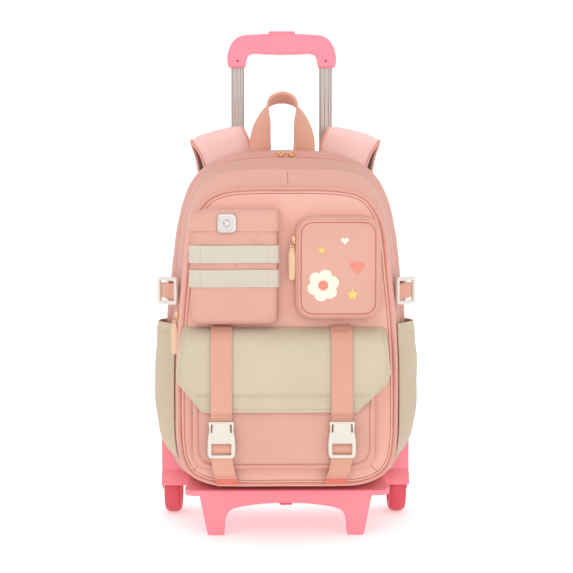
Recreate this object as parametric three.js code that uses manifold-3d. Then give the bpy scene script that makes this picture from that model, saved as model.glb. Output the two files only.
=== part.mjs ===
// A school backpack strapped on a two-wheel trolley with a telescopic handle.
// Millimetres, +Z up, +X to the right of the wearer's front view, front towards -Y.
// The floor is z = 0. Depth is counted from the rear face of the bag towards the front.

import * as THREE from 'three';
import Module from 'manifold-3d';
import { mergeVertices } from 'three/addons/utils/BufferGeometryUtils.js';

const wasm = await Module();
wasm.setup();

// Clearances and walls
const gap = 0.3;
const slideGap = 0.4;
const clothWall = 2.2;
const trimWall = 1.6;
const webbingWall = 1.8;

// Bag as a whole
const bagWidth = 328;
const bagHeight = 454;
const bagDepth = 152;
const padThickness = 10;
const rimTuck = 4;

// Front compartment: its zip line and its front panel
const frontDepth = 40;
const zipLineWidth = 296;
const zipLineDrop = 26;
const zipLineLift = 4;
const panelWidth = 284;
const panelDrop = 53;
const panelLift = 11;
const panelEdge = 4;
const pipingRadius = 2.3;

// Zips
const mainZipDepth = 64;
const mainZipWidth = 8;
const mainZipEnd = 118;
const frontZipWidth = 5;
const frontZipEnd = 282;
const zipSink = 0.5;
const sliderLength = 13;
const sliderWidth = 9;
const sliderThickness = 5;
const pullLength = 46;
const pullWidth = 10;
const pullThickness = 2.4;

// Upper left pocket
const leftPocketLeft = -126;
const leftPocketRight = -13;
const leftPocketBottom = 287;
const leftPocketTop = 436;
const leftPocketDepth = 21;
const leftPocketShoulder = 17;
const leftFlapDrop = 28;
const bandWidth = 23;
const bandsBelowFlap = 18;
const bandSpacing = 31.5;
const snapAcross = -79;
const snapHeight = 418.5;
const snapSize = 25;
const snapThickness = 6;
const snapBevel = 2;
const leftPocketRound = 5;

// Upper right pocket
const rightPocketLeft = 10;
const rightPocketRight = 121.5;
const rightPocketBottom = 293.5;
const rightPocketTop = 427;
const rightPocketDepth = 21;
const rightPocketCorner = 25;
const rightPipingInset = 6;
const rightPipingRadius = 1.5;
const rightSliderHeight = 397;

// Lower pocket and the flap over it
const lowerPocketWidth = 238;
const lowerPocketBottom = 98;
const lowerPocketTop = 266;
const lowerPocketDepth = 29;
const lowerPocketCorner = 30;
const lowerPocketShift = -5;
const lowerPipingRadius = 2;
const flapWidth = 279;
const flapTop = 282;
const flapBottom = 174;
const flapShift = -6;
const flapSag = 5;

// Front straps and their side-release buckles
const strapWidth = 28;
const strapSpread = 78;
const strapShift = -8;
const lowerStrapLean = 6;
const buckleWidth = 36;
const buckleThickness = 9;
const maleHeight = 15;
const femaleHeight = 48;
const buckleTop = 179;
const buckleRound = 1.6;
const femaleWindow = 0.3;
const prongLength = 20;

// Side pockets and compression straps
const sidePocketBottom = 100;
const sidePocketTop = 283;
const sidePocketBulge = 17;
const sidePocketFront = 107;
const sidePocketRear = 15;
const sideBuckleLength = 38;
const sideBuckleHeight = 37;
const sideBuckleThickness = 4;
const sideBuckleLevel = 327;
const sideBuckleTurn = 44;
const sideBuckleRail = 5;
const sideBuckleRound = 4;
const sideWebbing = 20;

// Haul loop
const loopSpread = 31;
const loopShift = -5;
const loopRise = 77;
const loopWidth = 30;
const loopDepth = 24;
const loopWall = 2.4;

// Shoulder straps
const shoulderWidth = 74;
const shoulderThickness = 11;
const shoulderSpread = 79;
const shoulderSplay = 18;
const shoulderRise = 36;
const shoulderTilt = 15;
const shoulderDrop = 300;
const shoulderBack = 14;
const shoulderWebbing = 25;
const shoulderWebbingDrop = 64;
const shoulderWebbingSplay = 30;

// Trolley base
const standHeight = 53.5;
const trayThickness = 8;
const trayWidth = 275;
const trayFront = 131;
const trayRear = 47;
const trayCorner = 14;
const trayBevel = 1.5;
const standTopWidth = 232;
const standFootOuter = 209;
const standFootWidth = 22;
const standArch = 43;
const standShoulder = 37;
const standDepth = 26;
const rearWallHeight = 70;
const rearWallShell = 3;
const rearWallCorner = 5;
const rearWallBevel = 2;

// Wheels
const wheelRadius = 36;
const wheelWidth = 25;
const wheelBack = 30;
const wheelGap = 3;
const wheelFacets = 20;
const hubFacets = 12;
const hubRadius = 23;
const axleRadius = 3;
const wheelSideGap = 0.4;
const housingGap = 0.7;
const housingInnerWall = 8.6;
const housingBottom = 44.5;
const housingTop = 131;
const housingRound = 8;
const housingBevel = 2;
const housingShell = 2.4;

// Telescopic handle
const handleShift = -5;
const tubeSpacing = 125;
const tubeBack = 34;
const outerTubeWidth = 24;
const outerTubeDepth = 16;
const outerTubeTop = 478;
const innerTubeWidth = 19;
const innerTubeDepth = 11;
const innerTubeLength = 402;
const tubeWall = 1.3;
const bracketHeight = 22;
const bracketWall = 3.5;
const bracketBevel = 1;
const gripWidth = 154;
const gripTop = 683.5;
const gripArch = 6;
const gripBar = 28;
const gripArmDrop = 48;
const gripArmWidth = 26;
const gripDepth = 21;
const gripSocket = 24;
const gripShoulder = 16;
const gripInnerRound = 8;
const gripBevel = 6;
const buttonWidth = 38;
const buttonDepth = 11;
const buttonHeight = 12;
const buttonProud = 4;
const buttonRound = 2.5;
const buttonBevel = 1;

// Facet counts
const aroundBag = 32;
const roundSteps = 3;
const edgeSteps = 2;
const pipingSides = 5;

// Heights and depths that follow from the sizes above
const trayTop = standHeight + trayThickness;
const bagBottom = trayTop + gap * 2;
const bagTop = bagBottom + bagHeight;
const housingInner = trayWidth / 2 + housingGap;
const wheelInner = housingInner + housingInnerWall + gap * 4;
const housingOuter = wheelInner + wheelWidth + wheelSideGap + housingShell;
const mainFront = bagDepth - frontDepth;
const panelFace = bagDepth;
const pocketBase = panelFace + gap;

const pack = new THREE.Group();
const sewn = new THREE.Group();
const trolley = new THREE.Group();
const handle = new THREE.Group();
pack.add(sewn, trolley, handle);

// Materials, by what each piece is made of

const looks = {
  rose: { color: 0xe8b2a4, roughness: 0.85, metalness: 0 },
  sand: { color: 0xddcfb8, roughness: 0.9, metalness: 0 },
  cream: { color: 0xe0dbcd, roughness: 0.85, metalness: 0 },
  coral: { color: 0xeab498, roughness: 0.8, metalness: 0 },
  mesh: { color: 0xa09088, roughness: 0.95, metalness: 0 },
  zip: { color: 0xc98f80, roughness: 0.8, metalness: 0 },
  gold: { color: 0xe8cf8e, roughness: 0.3, metalness: 1 },
  leather: { color: 0xf3c9a0, roughness: 0.6, metalness: 0 },
  ivory: { color: 0xf2ebe2, roughness: 0.45, metalness: 0 },
  pink: { color: 0xfd8f9d, roughness: 0.4, metalness: 0 },
  tyre: { color: 0xe0707f, roughness: 0.6, metalness: 0 },
  tube: { color: 0xbcb3ac, roughness: 0.35, metalness: 0.9 },
  steel: { color: 0xb0b0b0, roughness: 0.3, metalness: 1 },
};

function addPiece(parent, name, geometry, look) {
  const mesh = new THREE.Mesh(geometry, new THREE.MeshStandardMaterial(looks[look]));
  mesh.name = name;
  parent.add(mesh);
  return mesh;
}

// Solids

function toSolid(geometry) {
  const bare = geometry.clone();
  for (const attribute of ['normal', 'uv']) {
    bare.deleteAttribute(attribute);
  }
  const merged = mergeVertices(bare, 1e-4);
  return new wasm.Manifold(new wasm.Mesh({
    numProp: 3,
    vertProperties: new Float32Array(merged.attributes.position.array),
    triVerts: new Uint32Array(merged.index.array),
  }));
}

function toGeometry(solid) {
  const { vertProperties, triVerts } = solid.getMesh();
  const geometry = new THREE.BufferGeometry();
  geometry.setAttribute('position', new THREE.BufferAttribute(new Float32Array(vertProperties), 3));
  geometry.setIndex(new THREE.BufferAttribute(new Uint32Array(triVerts), 1));
  return geometry;
}

function join(first, ...others) {
  return toGeometry(others.reduce((solid, other) => solid.add(toSolid(other)), toSolid(first)));
}

function cut(body, ...cutters) {
  return toGeometry(cutters.reduce((solid, cutter) => solid.subtract(toSolid(cutter)), toSolid(body)));
}

function common(body, other) {
  return toGeometry(toSolid(body).intersect(toSolid(other)));
}

// A closed geometry from points and triangles, with its faces turned outwards
function closedGeometry(points, triangles) {
  let volume = 0;
  for (const [a, b, c] of triangles) {
    volume += points[a].dot(points[b].clone().cross(points[c]));
  }
  const geometry = new THREE.BufferGeometry().setFromPoints(points);
  geometry.setIndex(triangles.flatMap(([a, b, c]) => (volume > 0 ? [a, b, c] : [a, c, b])));
  return geometry;
}

// Rings of equal length joined in order: a tube closed on itself, or a body with two end caps
function bodyFromRings(rings, closedOnItself = false) {
  const count = rings[0].length;
  const points = rings.flat().map((point) => point.clone());
  const triangles = [];
  const bands = closedOnItself ? rings.length : rings.length - 1;
  for (let band = 0; band < bands; band += 1) {
    const here = band * count;
    const there = ((band + 1) % rings.length) * count;
    for (let i = 0; i < count; i += 1) {
      const next = (i + 1) % count;
      triangles.push([here + i, here + next, there + next]);
      triangles.push([here + i, there + next, there + i]);
    }
  }
  if (!closedOnItself) {
    for (const end of [0, rings.length - 1]) {
      const middle = rings[end].reduce((sum, point) => sum.add(point), new THREE.Vector3());
      points.push(middle.divideScalar(count));
      const centre = points.length - 1;
      for (let i = 0; i < count; i += 1) {
        const edge = [end * count + i, end * count + ((i + 1) % count)];
        triangles.push(end === 0 ? [centre, edge[1], edge[0]] : [centre, edge[0], edge[1]]);
      }
    }
  }
  return closedGeometry(points, triangles);
}

// A cloth of even thickness on both sides of surface(u, v), u and v from 0 to 1
function clothBody(surface, columns, rows, wall) {
  const step = 1e-3;
  const front = [];
  const back = [];
  for (let row = 0; row <= rows; row += 1) {
    for (let column = 0; column <= columns; column += 1) {
      const u = column / columns;
      const v = row / rows;
      const alongU = surface(Math.min(u + step, 1), v).sub(surface(Math.max(u - step, 0), v));
      const alongV = surface(u, Math.min(v + step, 1)).sub(surface(u, Math.max(v - step, 0)));
      const offset = alongU.cross(alongV).setLength(wall / 2);
      front.push(surface(u, v).add(offset));
      back.push(surface(u, v).sub(offset));
    }
  }
  const points = [...front, ...back];
  const behind = front.length;
  const at = (row, column) => row * (columns + 1) + column;
  const triangles = [];
  const quad = (a, b, c, d) => triangles.push([a, b, c], [a, c, d]);
  for (let row = 0; row < rows; row += 1) {
    for (let column = 0; column < columns; column += 1) {
      const corners = [at(row, column), at(row, column + 1), at(row + 1, column + 1), at(row + 1, column)];
      quad(...corners);
      quad(...corners.map((corner) => corner + behind).reverse());
    }
  }
  const edge = (from, to) => quad(to, from, from + behind, to + behind);
  for (let column = 0; column < columns; column += 1) {
    edge(at(0, column), at(0, column + 1));
    edge(at(rows, column + 1), at(rows, column));
  }
  for (let row = 0; row < rows; row += 1) {
    edge(at(row, columns), at(row + 1, columns));
    edge(at(row + 1, 0), at(row, 0));
  }
  return closedGeometry(points, triangles);
}

// Flat shapes stood up: drawn in the front plane or from the side, then given a thickness

function bevelled(shape, thickness, bevel, steps = 1) {
  return new THREE.ExtrudeGeometry(shape, {
    depth: thickness - bevel * 2,
    bevelEnabled: bevel > 0,
    bevelSize: bevel,
    bevelThickness: bevel,
    bevelOffset: -bevel,
    bevelSegments: steps,
    curveSegments: roundSteps,
  }).translate(0, 0, bevel);
}

// Drawn in x and z; the thickness runs from depth `from` towards the front
function frontPlate(shape, from, thickness, bevel = 0, steps = 1) {
  return bevelled(shape, thickness, bevel, steps).rotateX(Math.PI / 2).translate(0, -from, 0);
}

// Drawn in y and z; the thickness runs from x `from` to the right
function sidePlate(shape, from, thickness, bevel = 0) {
  return bevelled(shape, thickness, bevel).rotateX(Math.PI / 2).rotateZ(Math.PI / 2).translate(from, 0, 0);
}

function roundedRectangle(width, height, radius, x = 0, y = 0) {
  const shape = new THREE.Shape();
  const right = x + width / 2;
  const top = y + height / 2;
  const left = x - width / 2;
  const bottom = y - height / 2;
  shape.moveTo(left + radius, bottom);
  shape.lineTo(right - radius, bottom);
  shape.quadraticCurveTo(right, bottom, right, bottom + radius);
  shape.lineTo(right, top - radius);
  shape.quadraticCurveTo(right, top, right - radius, top);
  shape.lineTo(left + radius, top);
  shape.quadraticCurveTo(left, top, left, top - radius);
  shape.lineTo(left, bottom + radius);
  shape.quadraticCurveTo(left, bottom, left + radius, bottom);
  return shape;
}

function box(width, depth, height, x, y, z) {
  return new THREE.BoxGeometry(width, depth, height).translate(x, y, z);
}

// Outlines: closed loops of points in the front plane, counted from the bottom centre, right side first

const bagRows = [
  { up: 0, out: 0 },
  { up: 0, out: 0.5 },
  { up: 0.002, out: 0.66 },
  { up: 0.011, out: 0.8 },
  { up: 0.029, out: 0.885 },
  { up: 0.059, out: 0.94 },
  { up: 0.1, out: 0.974 },
  { up: 0.18, out: 0.993 },
  { up: 0.32, out: 1 },
  { up: 0.43, out: 0.998 },
  { up: 0.53, out: 0.99 },
  { up: 0.62, out: 0.96 },
  { up: 0.695, out: 0.938 },
  { up: 0.77, out: 0.908 },
  { up: 0.85, out: 0.853 },
  { up: 0.915, out: 0.768 },
  { up: 0.955, out: 0.65 },
  { up: 0.98, out: 0.5 },
  { up: 0.995, out: 0.3 },
  { up: 1, out: 0 },
];

const panelRows = [
  { up: 0, out: 0 },
  { up: 0, out: 0.45 },
  { up: 0.003, out: 0.64 },
  { up: 0.016, out: 0.78 },
  { up: 0.039, out: 0.89 },
  { up: 0.085, out: 0.966 },
  { up: 0.152, out: 0.995 },
  { up: 0.25, out: 1 },
  { up: 0.4, out: 0.995 },
  { up: 0.533, out: 0.975 },
  { up: 0.62, out: 0.955 },
  { up: 0.705, out: 0.93 },
  { up: 0.79, out: 0.908 },
  { up: 0.85, out: 0.885 },
  { up: 0.9, out: 0.85 },
  { up: 0.94, out: 0.79 },
  { up: 0.968, out: 0.72 },
  { up: 0.988, out: 0.6 },
  { up: 0.998, out: 0.4 },
  { up: 1, out: 0 },
];

function outline(rows, width, bottom, height) {
  const right = rows.map(({ up, out }) => new THREE.Vector3(out * width / 2, bottom + up * height, 0));
  const left = right.slice(1, -1).reverse().map((point) => new THREE.Vector3(-point.x, point.y, 0));
  const curve = new THREE.CatmullRomCurve3([...right, ...left], true, 'centripetal');
  const spaced = curve.getSpacedPoints(aroundBag).slice(0, aroundBag);
  return spaced.map((point) => new THREE.Vector2(point.x, point.y));
}

function shapeLoop(shape) {
  return shape.getPoints(roundSteps).slice(0, -1);
}

// A polygon of { x, z, r } corners, counter-clockwise, each rounded by its r
function roundedPolygon(corners) {
  const shape = new THREE.Shape();
  corners.forEach((corner, i) => {
    const here = new THREE.Vector2(corner.x, corner.z);
    const before = corners[(i + corners.length - 1) % corners.length];
    const after = corners[(i + 1) % corners.length];
    const enter = new THREE.Vector2(before.x, before.z).sub(here).setLength(corner.r).add(here);
    const leave = new THREE.Vector2(after.x, after.z).sub(here).setLength(corner.r).add(here);
    if (i === 0) {
      shape.moveTo(enter.x, enter.y);
    } else {
      shape.lineTo(enter.x, enter.y);
    }
    shape.quadraticCurveTo(here.x, here.y, leave.x, leave.y);
  });
  shape.closePath();
  return shape;
}

function place(loop, depth) {
  return loop.map((point) => new THREE.Vector3(point.x, -depth, point.y));
}

function blendLoops(first, second, share) {
  return first.map((point, i) => point.clone().lerp(second[i], share));
}

function shrink(loop, share) {
  const middle = loop.reduce((sum, point) => sum.add(point), new THREE.Vector2()).divideScalar(loop.length);
  return loop.map((point) => middle.clone().lerp(point, share));
}

// Moves every point inwards (or outwards for a negative distance) by the same distance
function inset(loop, distance) {
  return loop.map((point, i) => {
    const before = loop[(i + loop.length - 1) % loop.length];
    const after = loop[(i + 1) % loop.length];
    const into = point.clone().sub(before).normalize();
    const onward = after.clone().sub(point).normalize();
    const normal = new THREE.Vector2(-into.y - onward.y, into.x + onward.x).normalize();
    const mitre = Math.max(normal.dot(new THREE.Vector2(-into.y, into.x)), 0.5);
    return point.clone().addScaledVector(normal, distance / mitre);
  });
}

// How far a loop reaches to the right at a height
function reachAt(loop, height) {
  let reach = 0;
  loop.forEach((point, i) => {
    const after = loop[(i + 1) % loop.length];
    const inside = (point.y - height) * (after.y - height) <= 0 && point.y !== after.y;
    if (inside) {
      const share = (height - point.y) / (after.y - point.y);
      reach = Math.max(reach, THREE.MathUtils.lerp(point.x, after.x, share));
    }
  });
  return reach;
}

// Reads one column of a table at a share, straight between its rows
function readTable(rows, key, share, column) {
  let i = 1;
  while (i < rows.length - 1 && rows[i][key] < share) {
    i += 1;
  }
  const span = (share - rows[i - 1][key]) / (rows[i][key] - rows[i - 1][key]);
  return THREE.MathUtils.lerp(rows[i - 1][column], rows[i][column], span);
}

// A wall that runs round a loop, from one depth to the next, closed on itself
function wallRing(loopAt, depths, sunk, wall) {
  const outer = depths.map((depth) => place(inset(loopAt(depth), sunk), depth));
  const inner = depths.map((depth) => place(inset(loopAt(depth), sunk + wall), depth));
  return bodyFromRings([...outer, ...inner.reverse()], true);
}

// A round cord sewn along a loop
function pipingRing(loop, depth, radius) {
  const rings = [];
  for (let i = 0; i < pipingSides; i += 1) {
    const angle = (i / pipingSides) * 2 * Math.PI;
    rings.push(place(inset(loop, radius * Math.cos(angle)), depth + radius * Math.sin(angle)));
  }
  return bodyFromRings(rings, true);
}

// A sewn tray of cloth, open towards the bag: side wall, rounded edge, flat or crowned front
function trayBody(loop, from, depth, wall, edge, crown) {
  const side = (sunk, reach, edgeNow) => {
    const rings = [place(inset(loop, sunk), from)];
    for (let i = 0; i <= edgeSteps; i += 1) {
      const angle = (i / edgeSteps) * (Math.PI / 2);
      const inwards = sunk + edgeNow * (1 - Math.cos(angle));
      rings.push(place(inset(loop, inwards), from + reach - edgeNow * (1 - Math.sin(angle))));
    }
    rings.push(place(shrink(inset(loop, sunk + edgeNow), 0.5), from + reach + crown));
    return rings;
  };
  const outer = side(0, depth, edge);
  const inner = side(wall, depth - wall, Math.max(edge - wall, 1));
  return bodyFromRings([...inner.reverse(), ...outer]);
}

// A flat pad with rounded rims
function padBody(loop, from, to, edge) {
  return bodyFromRings([
    place(inset(loop, edge), from),
    place(loop, from + edge),
    place(loop, to - edge / 4),
    place(inset(loop, edge / 4), to),
  ]);
}

function spread(from, to, count) {
  return Array.from({ length: count + 1 }, (_, i) => THREE.MathUtils.lerp(from, to, i / count));
}

// Main compartment

const mainLoop = outline(bagRows, bagWidth, bagBottom, bagHeight);
const zipLineHeight = bagHeight - zipLineDrop - zipLineLift;
const zipLineLoop = outline(panelRows, zipLineWidth, bagBottom + zipLineLift, zipLineHeight);
const panelLoop = outline(panelRows, panelWidth, bagBottom + panelLift, bagHeight - panelDrop - panelLift);

// The rounding of the main wall from the rear rim (0) to the front zip line (1)
const mainRows = [
  { along: 0, narrow: 0, tuck: 1 },
  { along: 0.06, narrow: 0, tuck: 0.35 },
  { along: 0.16, narrow: 0, tuck: 0 },
  { along: 0.34, narrow: 0.04, tuck: 0 },
  { along: 0.5, narrow: 0.26, tuck: 0 },
  { along: 0.72, narrow: 0.6, tuck: 0 },
  { along: 0.9, narrow: 0.86, tuck: 0 },
  { along: 1, narrow: 1, tuck: 0 },
];
const mainStart = padThickness + gap;
const mainEnd = mainFront - gap;

function mainLoopAt(depth) {
  const along = THREE.MathUtils.clamp((depth - mainStart) / (mainEnd - mainStart), 0, 1);
  const narrow = readTable(mainRows, 'along', along, 'narrow');
  const tuck = readTable(mainRows, 'along', along, 'tuck') * rimTuck;
  return inset(blendLoops(mainLoop, zipLineLoop, narrow), tuck);
}

// The band between the front zip line (0) and the front panel (1)
const frontRows = [
  { along: 0, narrow: 0 },
  { along: 0.3, narrow: 0.1 },
  { along: 0.65, narrow: 0.45 },
  { along: 0.9, narrow: 0.86 },
  { along: 1, narrow: 1 },
];
const pipingDepth = panelFace - panelEdge + pipingRadius / 2;
const frontEnd = pipingDepth - pipingRadius - gap;

function frontLoopAt(depth) {
  const along = THREE.MathUtils.clamp((depth - mainFront) / (frontEnd - mainFront), 0, 1);
  return blendLoops(zipLineLoop, panelLoop, readTable(frontRows, 'along', along, 'narrow'));
}

// All that lies above a height, wide enough to hold the whole bag
function above(height) {
  const size = bagWidth + bagHeight;
  return box(size, size, size, 0, 0, height + size / 2);
}

// A wall with a slot above a height, and the zip that fills it
function zippedWall(loopAt, depths, zipAt, zipWidth, zipEnd) {
  const half = zipWidth / 2;
  const slot = wallRing(loopAt, spread(zipAt - half, zipAt + half, 2), -clothWall, clothWall * 3);
  const wall = cut(wallRing(loopAt, depths, 0, clothWall), common(slot, above(zipEnd)));
  const tape = wallRing(loopAt, spread(zipAt - half + gap, zipAt + half - gap, 1), zipSink, trimWall);
  return { wall, zip: common(tape, above(zipEnd + gap)) };
}

const mainDepths = mainRows.map(({ along }) => THREE.MathUtils.lerp(mainStart, mainEnd, along));
const mainParts = zippedWall(mainLoopAt, mainDepths, mainZipDepth, mainZipWidth, mainZipEnd);
addPiece(sewn, 'main_gusset', mainParts.wall, 'rose');
addPiece(sewn, 'main_zipper', mainParts.zip, 'zip');

addPiece(sewn, 'back_panel', padBody(mainLoopAt(mainStart), 0, padThickness, padThickness / 2), 'rose');

const dividerDepth = mainEnd - gap;
const dividerLoop = inset(mainLoopAt(dividerDepth - clothWall), clothWall + gap * 3);
addPiece(sewn, 'divider_panel', padBody(dividerLoop, dividerDepth - clothWall, dividerDepth, gap), 'rose');

// Front compartment

const frontZipDepth = mainFront + frontZipWidth / 2;
const frontDepths = frontRows.map(({ along }) => THREE.MathUtils.lerp(mainFront, frontEnd, along));
const frontParts = zippedWall(frontLoopAt, frontDepths, frontZipDepth, frontZipWidth, frontZipEnd);
addPiece(sewn, 'front_gusset', frontParts.wall, 'rose');
addPiece(sewn, 'front_zipper', frontParts.zip, 'zip');

addPiece(sewn, 'front_piping', pipingRing(inset(panelLoop, pipingRadius), pipingDepth, pipingRadius), 'rose');
const panelRim = inset(panelLoop, pipingRadius * 2 + gap);
const panelBase = panelFace - panelEdge * 1.5;
const panelBody = trayBody(panelRim, panelBase, panelEdge * 1.5, clothWall, panelEdge, 0);
addPiece(sewn, 'front_panel', panelBody, 'rose');

// Upper left pocket with its flap, two webbing bands and a snap

function leftPocketShape(bottom, inwards) {
  const left = leftPocketLeft + inwards;
  const right = leftPocketRight - inwards;
  const top = leftPocketTop - inwards;
  return roundedPolygon([
    { x: left + inwards * 2, z: bottom, r: leftPocketRound },
    { x: right, z: bottom, r: leftPocketRound },
    { x: right, z: top, r: leftPocketRound * 1.2 },
    { x: left + leftPocketShoulder, z: top, r: leftPocketRound * 1.2 },
    { x: left, z: top - leftPocketShoulder * 2, r: leftPocketRound * 1.6 },
  ]);
}

const leftPocketLoop = shapeLoop(leftPocketShape(leftPocketBottom, 0));
const pocketEdge = 7;
const pocketFloor = leftPocketDepth + pocketBase;
const leftPocketBody = trayBody(leftPocketLoop, pocketBase, leftPocketDepth, clothWall, pocketEdge, 0);
addPiece(sewn, 'left_pocket', leftPocketBody, 'rose');

const leftFlapBottom = leftPocketTop - leftFlapDrop;
const leftFlapShape = leftPocketShape(leftFlapBottom, pocketEdge * 0.7);
addPiece(sewn, 'left_pocket_flap', frontPlate(leftFlapShape, pocketFloor + gap, clothWall), 'rose');

// A band lies on the pocket's front and bends back over its rounded edges at both ends
const bandBend = 80;

function bandBody(level) {
  const flat = (leftPocketRight - leftPocketLeft) / 2 - pocketEdge;
  const middle = (leftPocketRight + leftPocketLeft) / 2;
  const radius = pocketEdge + gap + webbingWall / 2;
  return clothBody((u, v) => {
    const signed = u * 2 - 1;
    const beyond = Math.max(Math.abs(signed) * 2 - 1, 0);
    const angle = THREE.MathUtils.degToRad(bandBend * beyond);
    const straight = THREE.MathUtils.clamp(signed * 2, -1, 1) * flat;
    const across = straight + Math.sign(signed) * radius * Math.sin(angle);
    const depth = pocketFloor - pocketEdge + radius * Math.cos(angle);
    return new THREE.Vector3(middle + across, -depth, level + (v - 0.5) * bandWidth);
  }, 8, 1, webbingWall);
}

const bandUpperLevel = leftFlapBottom - bandsBelowFlap - bandWidth / 2;
addPiece(sewn, 'pocket_band_upper', bandBody(bandUpperLevel), 'cream');
addPiece(sewn, 'pocket_band_lower', bandBody(bandUpperLevel - bandSpacing), 'cream');

const snapShape = roundedRectangle(snapSize, snapSize, snapSize / 4, snapAcross, snapHeight);
const snapFrom = pocketFloor + gap * 2 + clothWall;
addPiece(sewn, 'pocket_snap', frontPlate(snapShape, snapFrom, snapThickness, snapBevel), 'steel');

// Upper right pocket, its piping, slider and pull

const rightPocketWidth = rightPocketRight - rightPocketLeft;
const rightPocketHeight = rightPocketTop - rightPocketBottom;
const rightPocketMiddle = (rightPocketLeft + rightPocketRight) / 2;
const rightPocketLevel = (rightPocketBottom + rightPocketTop) / 2;
const rightPocketShape = roundedRectangle(
  rightPocketWidth, rightPocketHeight, rightPocketCorner, rightPocketMiddle, rightPocketLevel);
const rightPocketLoop = shapeLoop(rightPocketShape);
const rightPocketGeometry = trayBody(rightPocketLoop, pocketBase, rightPocketDepth, clothWall, pocketEdge, 0);
addPiece(sewn, 'right_pocket', rightPocketGeometry, 'rose');
const rightPipingLoop = inset(rightPocketLoop, rightPipingInset + rightPipingRadius);
const rightPipingDepth = pocketBase + rightPocketDepth + gap + rightPipingRadius;
const rightPiping = pipingRing(rightPipingLoop, rightPipingDepth, rightPipingRadius);
addPiece(sewn, 'right_pocket_piping', rightPiping, 'rose');

// A slider straddles a zip; its pull hangs from it. Both are drawn lying flat in the front plane.
function sliderBody() {
  const shape = roundedRectangle(sliderWidth, sliderLength, sliderWidth / 3);
  return frontPlate(shape, 0, sliderThickness, 1);
}

function pullBody() {
  const shape = roundedRectangle(pullWidth, pullLength, pullWidth / 3, 0, -pullLength / 2);
  const hole = new THREE.Path().absarc(0, -pullWidth / 2, pullWidth / 5, 0, Math.PI * 2, true);
  shape.holes.push(hole);
  return frontPlate(shape, 0, pullThickness);
}

function placeTurned(mesh, x, depth, z, turn = 0, lean = 0) {
  mesh.position.set(x, -depth, z);
  mesh.rotation.set(0, THREE.MathUtils.degToRad(lean), THREE.MathUtils.degToRad(turn), 'ZYX');
}

const sideTurn = -90;
const rightSliderDepth = pocketBase + rightPocketDepth * 0.55;
const rightSliderAcross = rightPocketLeft - gap;
placeTurned(addPiece(sewn, 'right_slider', sliderBody(), 'gold'),
  rightSliderAcross, rightSliderDepth, rightSliderHeight, sideTurn);
const rightPullTop = rightSliderHeight - sliderLength / 2 - gap;
placeTurned(addPiece(sewn, 'right_pull', pullBody(), 'leather'),
  rightSliderAcross - pullThickness / 2, rightSliderDepth, rightPullTop, sideTurn);

// Lower pocket with its piping

const lowerPocketShape = roundedPolygon([
  { x: lowerPocketShift - lowerPocketWidth / 2, z: lowerPocketBottom, r: lowerPocketCorner },
  { x: lowerPocketShift + lowerPocketWidth / 2, z: lowerPocketBottom, r: lowerPocketCorner },
  { x: lowerPocketShift + lowerPocketWidth / 2, z: lowerPocketTop, r: lowerPocketCorner / 3 },
  { x: lowerPocketShift - lowerPocketWidth / 2, z: lowerPocketTop, r: lowerPocketCorner / 3 },
]);
const lowerPocketLoop = shapeLoop(lowerPocketShape);
const lowerPocketBody = trayBody(lowerPocketLoop, pocketBase, lowerPocketDepth, clothWall, pocketEdge, 0);
addPiece(sewn, 'lower_pocket', lowerPocketBody, 'rose');
const lowerPipingLoop = inset(lowerPocketLoop, -lowerPipingRadius - gap);
addPiece(sewn, 'lower_pocket_piping',
  pipingRing(lowerPipingLoop, pocketBase + lowerPipingRadius, lowerPipingRadius), 'rose');

// The flap runs from its top seam on the panel out over the lower pocket and hangs down in front of it

const flapRows = [
  { down: 0, out: 0.02 },
  { down: 0.03, out: 0.3 },
  { down: 0.08, out: 0.66 },
  { down: 0.16, out: 0.93 },
  { down: 0.28, out: 1.02 },
  { down: 0.5, out: 1.05 },
  { down: 0.75, out: 1.05 },
  { down: 1, out: 1.04 },
];
const flapReachRows = [
  { down: 0, left: 0.94, right: 0.955 },
  { down: 0.3, left: 0.97, right: 0.98 },
  { down: 0.56, left: 1, right: 1 },
  { down: 0.66, left: 0.98, right: 0.97 },
  { down: 1, left: 0.754, right: 0.69 },
];
const flapDepth = lowerPocketDepth + clothWall;
const flapHeight = flapTop - flapBottom;
const flapPoints = flapRows.map(({ down, out }) => (
  new THREE.Vector3(0, -pocketBase - clothWall - out * flapDepth, flapTop - down * flapHeight)));
const flapCurve = new THREE.CatmullRomCurve3(flapPoints, false, 'centripetal');

// A point of the flap's middle surface, lifted off it by a distance
function flapPoint(x, share, lift) {
  const point = flapCurve.getPoint(share);
  const along = flapCurve.getTangent(share);
  const sideways = Math.abs(x - flapShift) / (flapWidth / 2);
  return new THREE.Vector3(x, point.y + along.z * lift + flapSag * sideways ** 6, point.z - along.y * lift);
}

const flapStart = 0.02;
addPiece(sewn, 'flap', clothBody((u, v) => {
  const share = THREE.MathUtils.lerp(flapStart, 1, v);
  const down = (flapTop - flapCurve.getPoint(share).z) / flapHeight;
  const left = -readTable(flapReachRows, 'down', down, 'left') * flapWidth / 2;
  const right = readTable(flapReachRows, 'down', down, 'right') * flapWidth / 2;
  return flapPoint(flapShift + THREE.MathUtils.lerp(left, right, u), share, 0);
}, 6, 10, clothWall), 'sand');

// Front straps: over the flap into the male half, and from the female half down to the bag's bottom edge

const buckleLevel = buckleTop - maleHeight;
const buckleBottom = buckleLevel - femaleHeight;
const buckleFrom = pocketBase + clothWall * 2 + flapDepth * 1.05 - buckleThickness / 2 + webbingWall;
const strapLift = (clothWall + webbingWall) / 2 + gap * 3;
const strapEnd = (flapTop - buckleTop - gap) / flapHeight;

function upperStrap(across) {
  return clothBody((u, v) => {
    const share = THREE.MathUtils.lerp(flapStart, strapEnd, v);
    return flapPoint(across + (u - 0.5) * strapWidth, share, strapLift);
  }, 1, 10, webbingWall);
}

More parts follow.
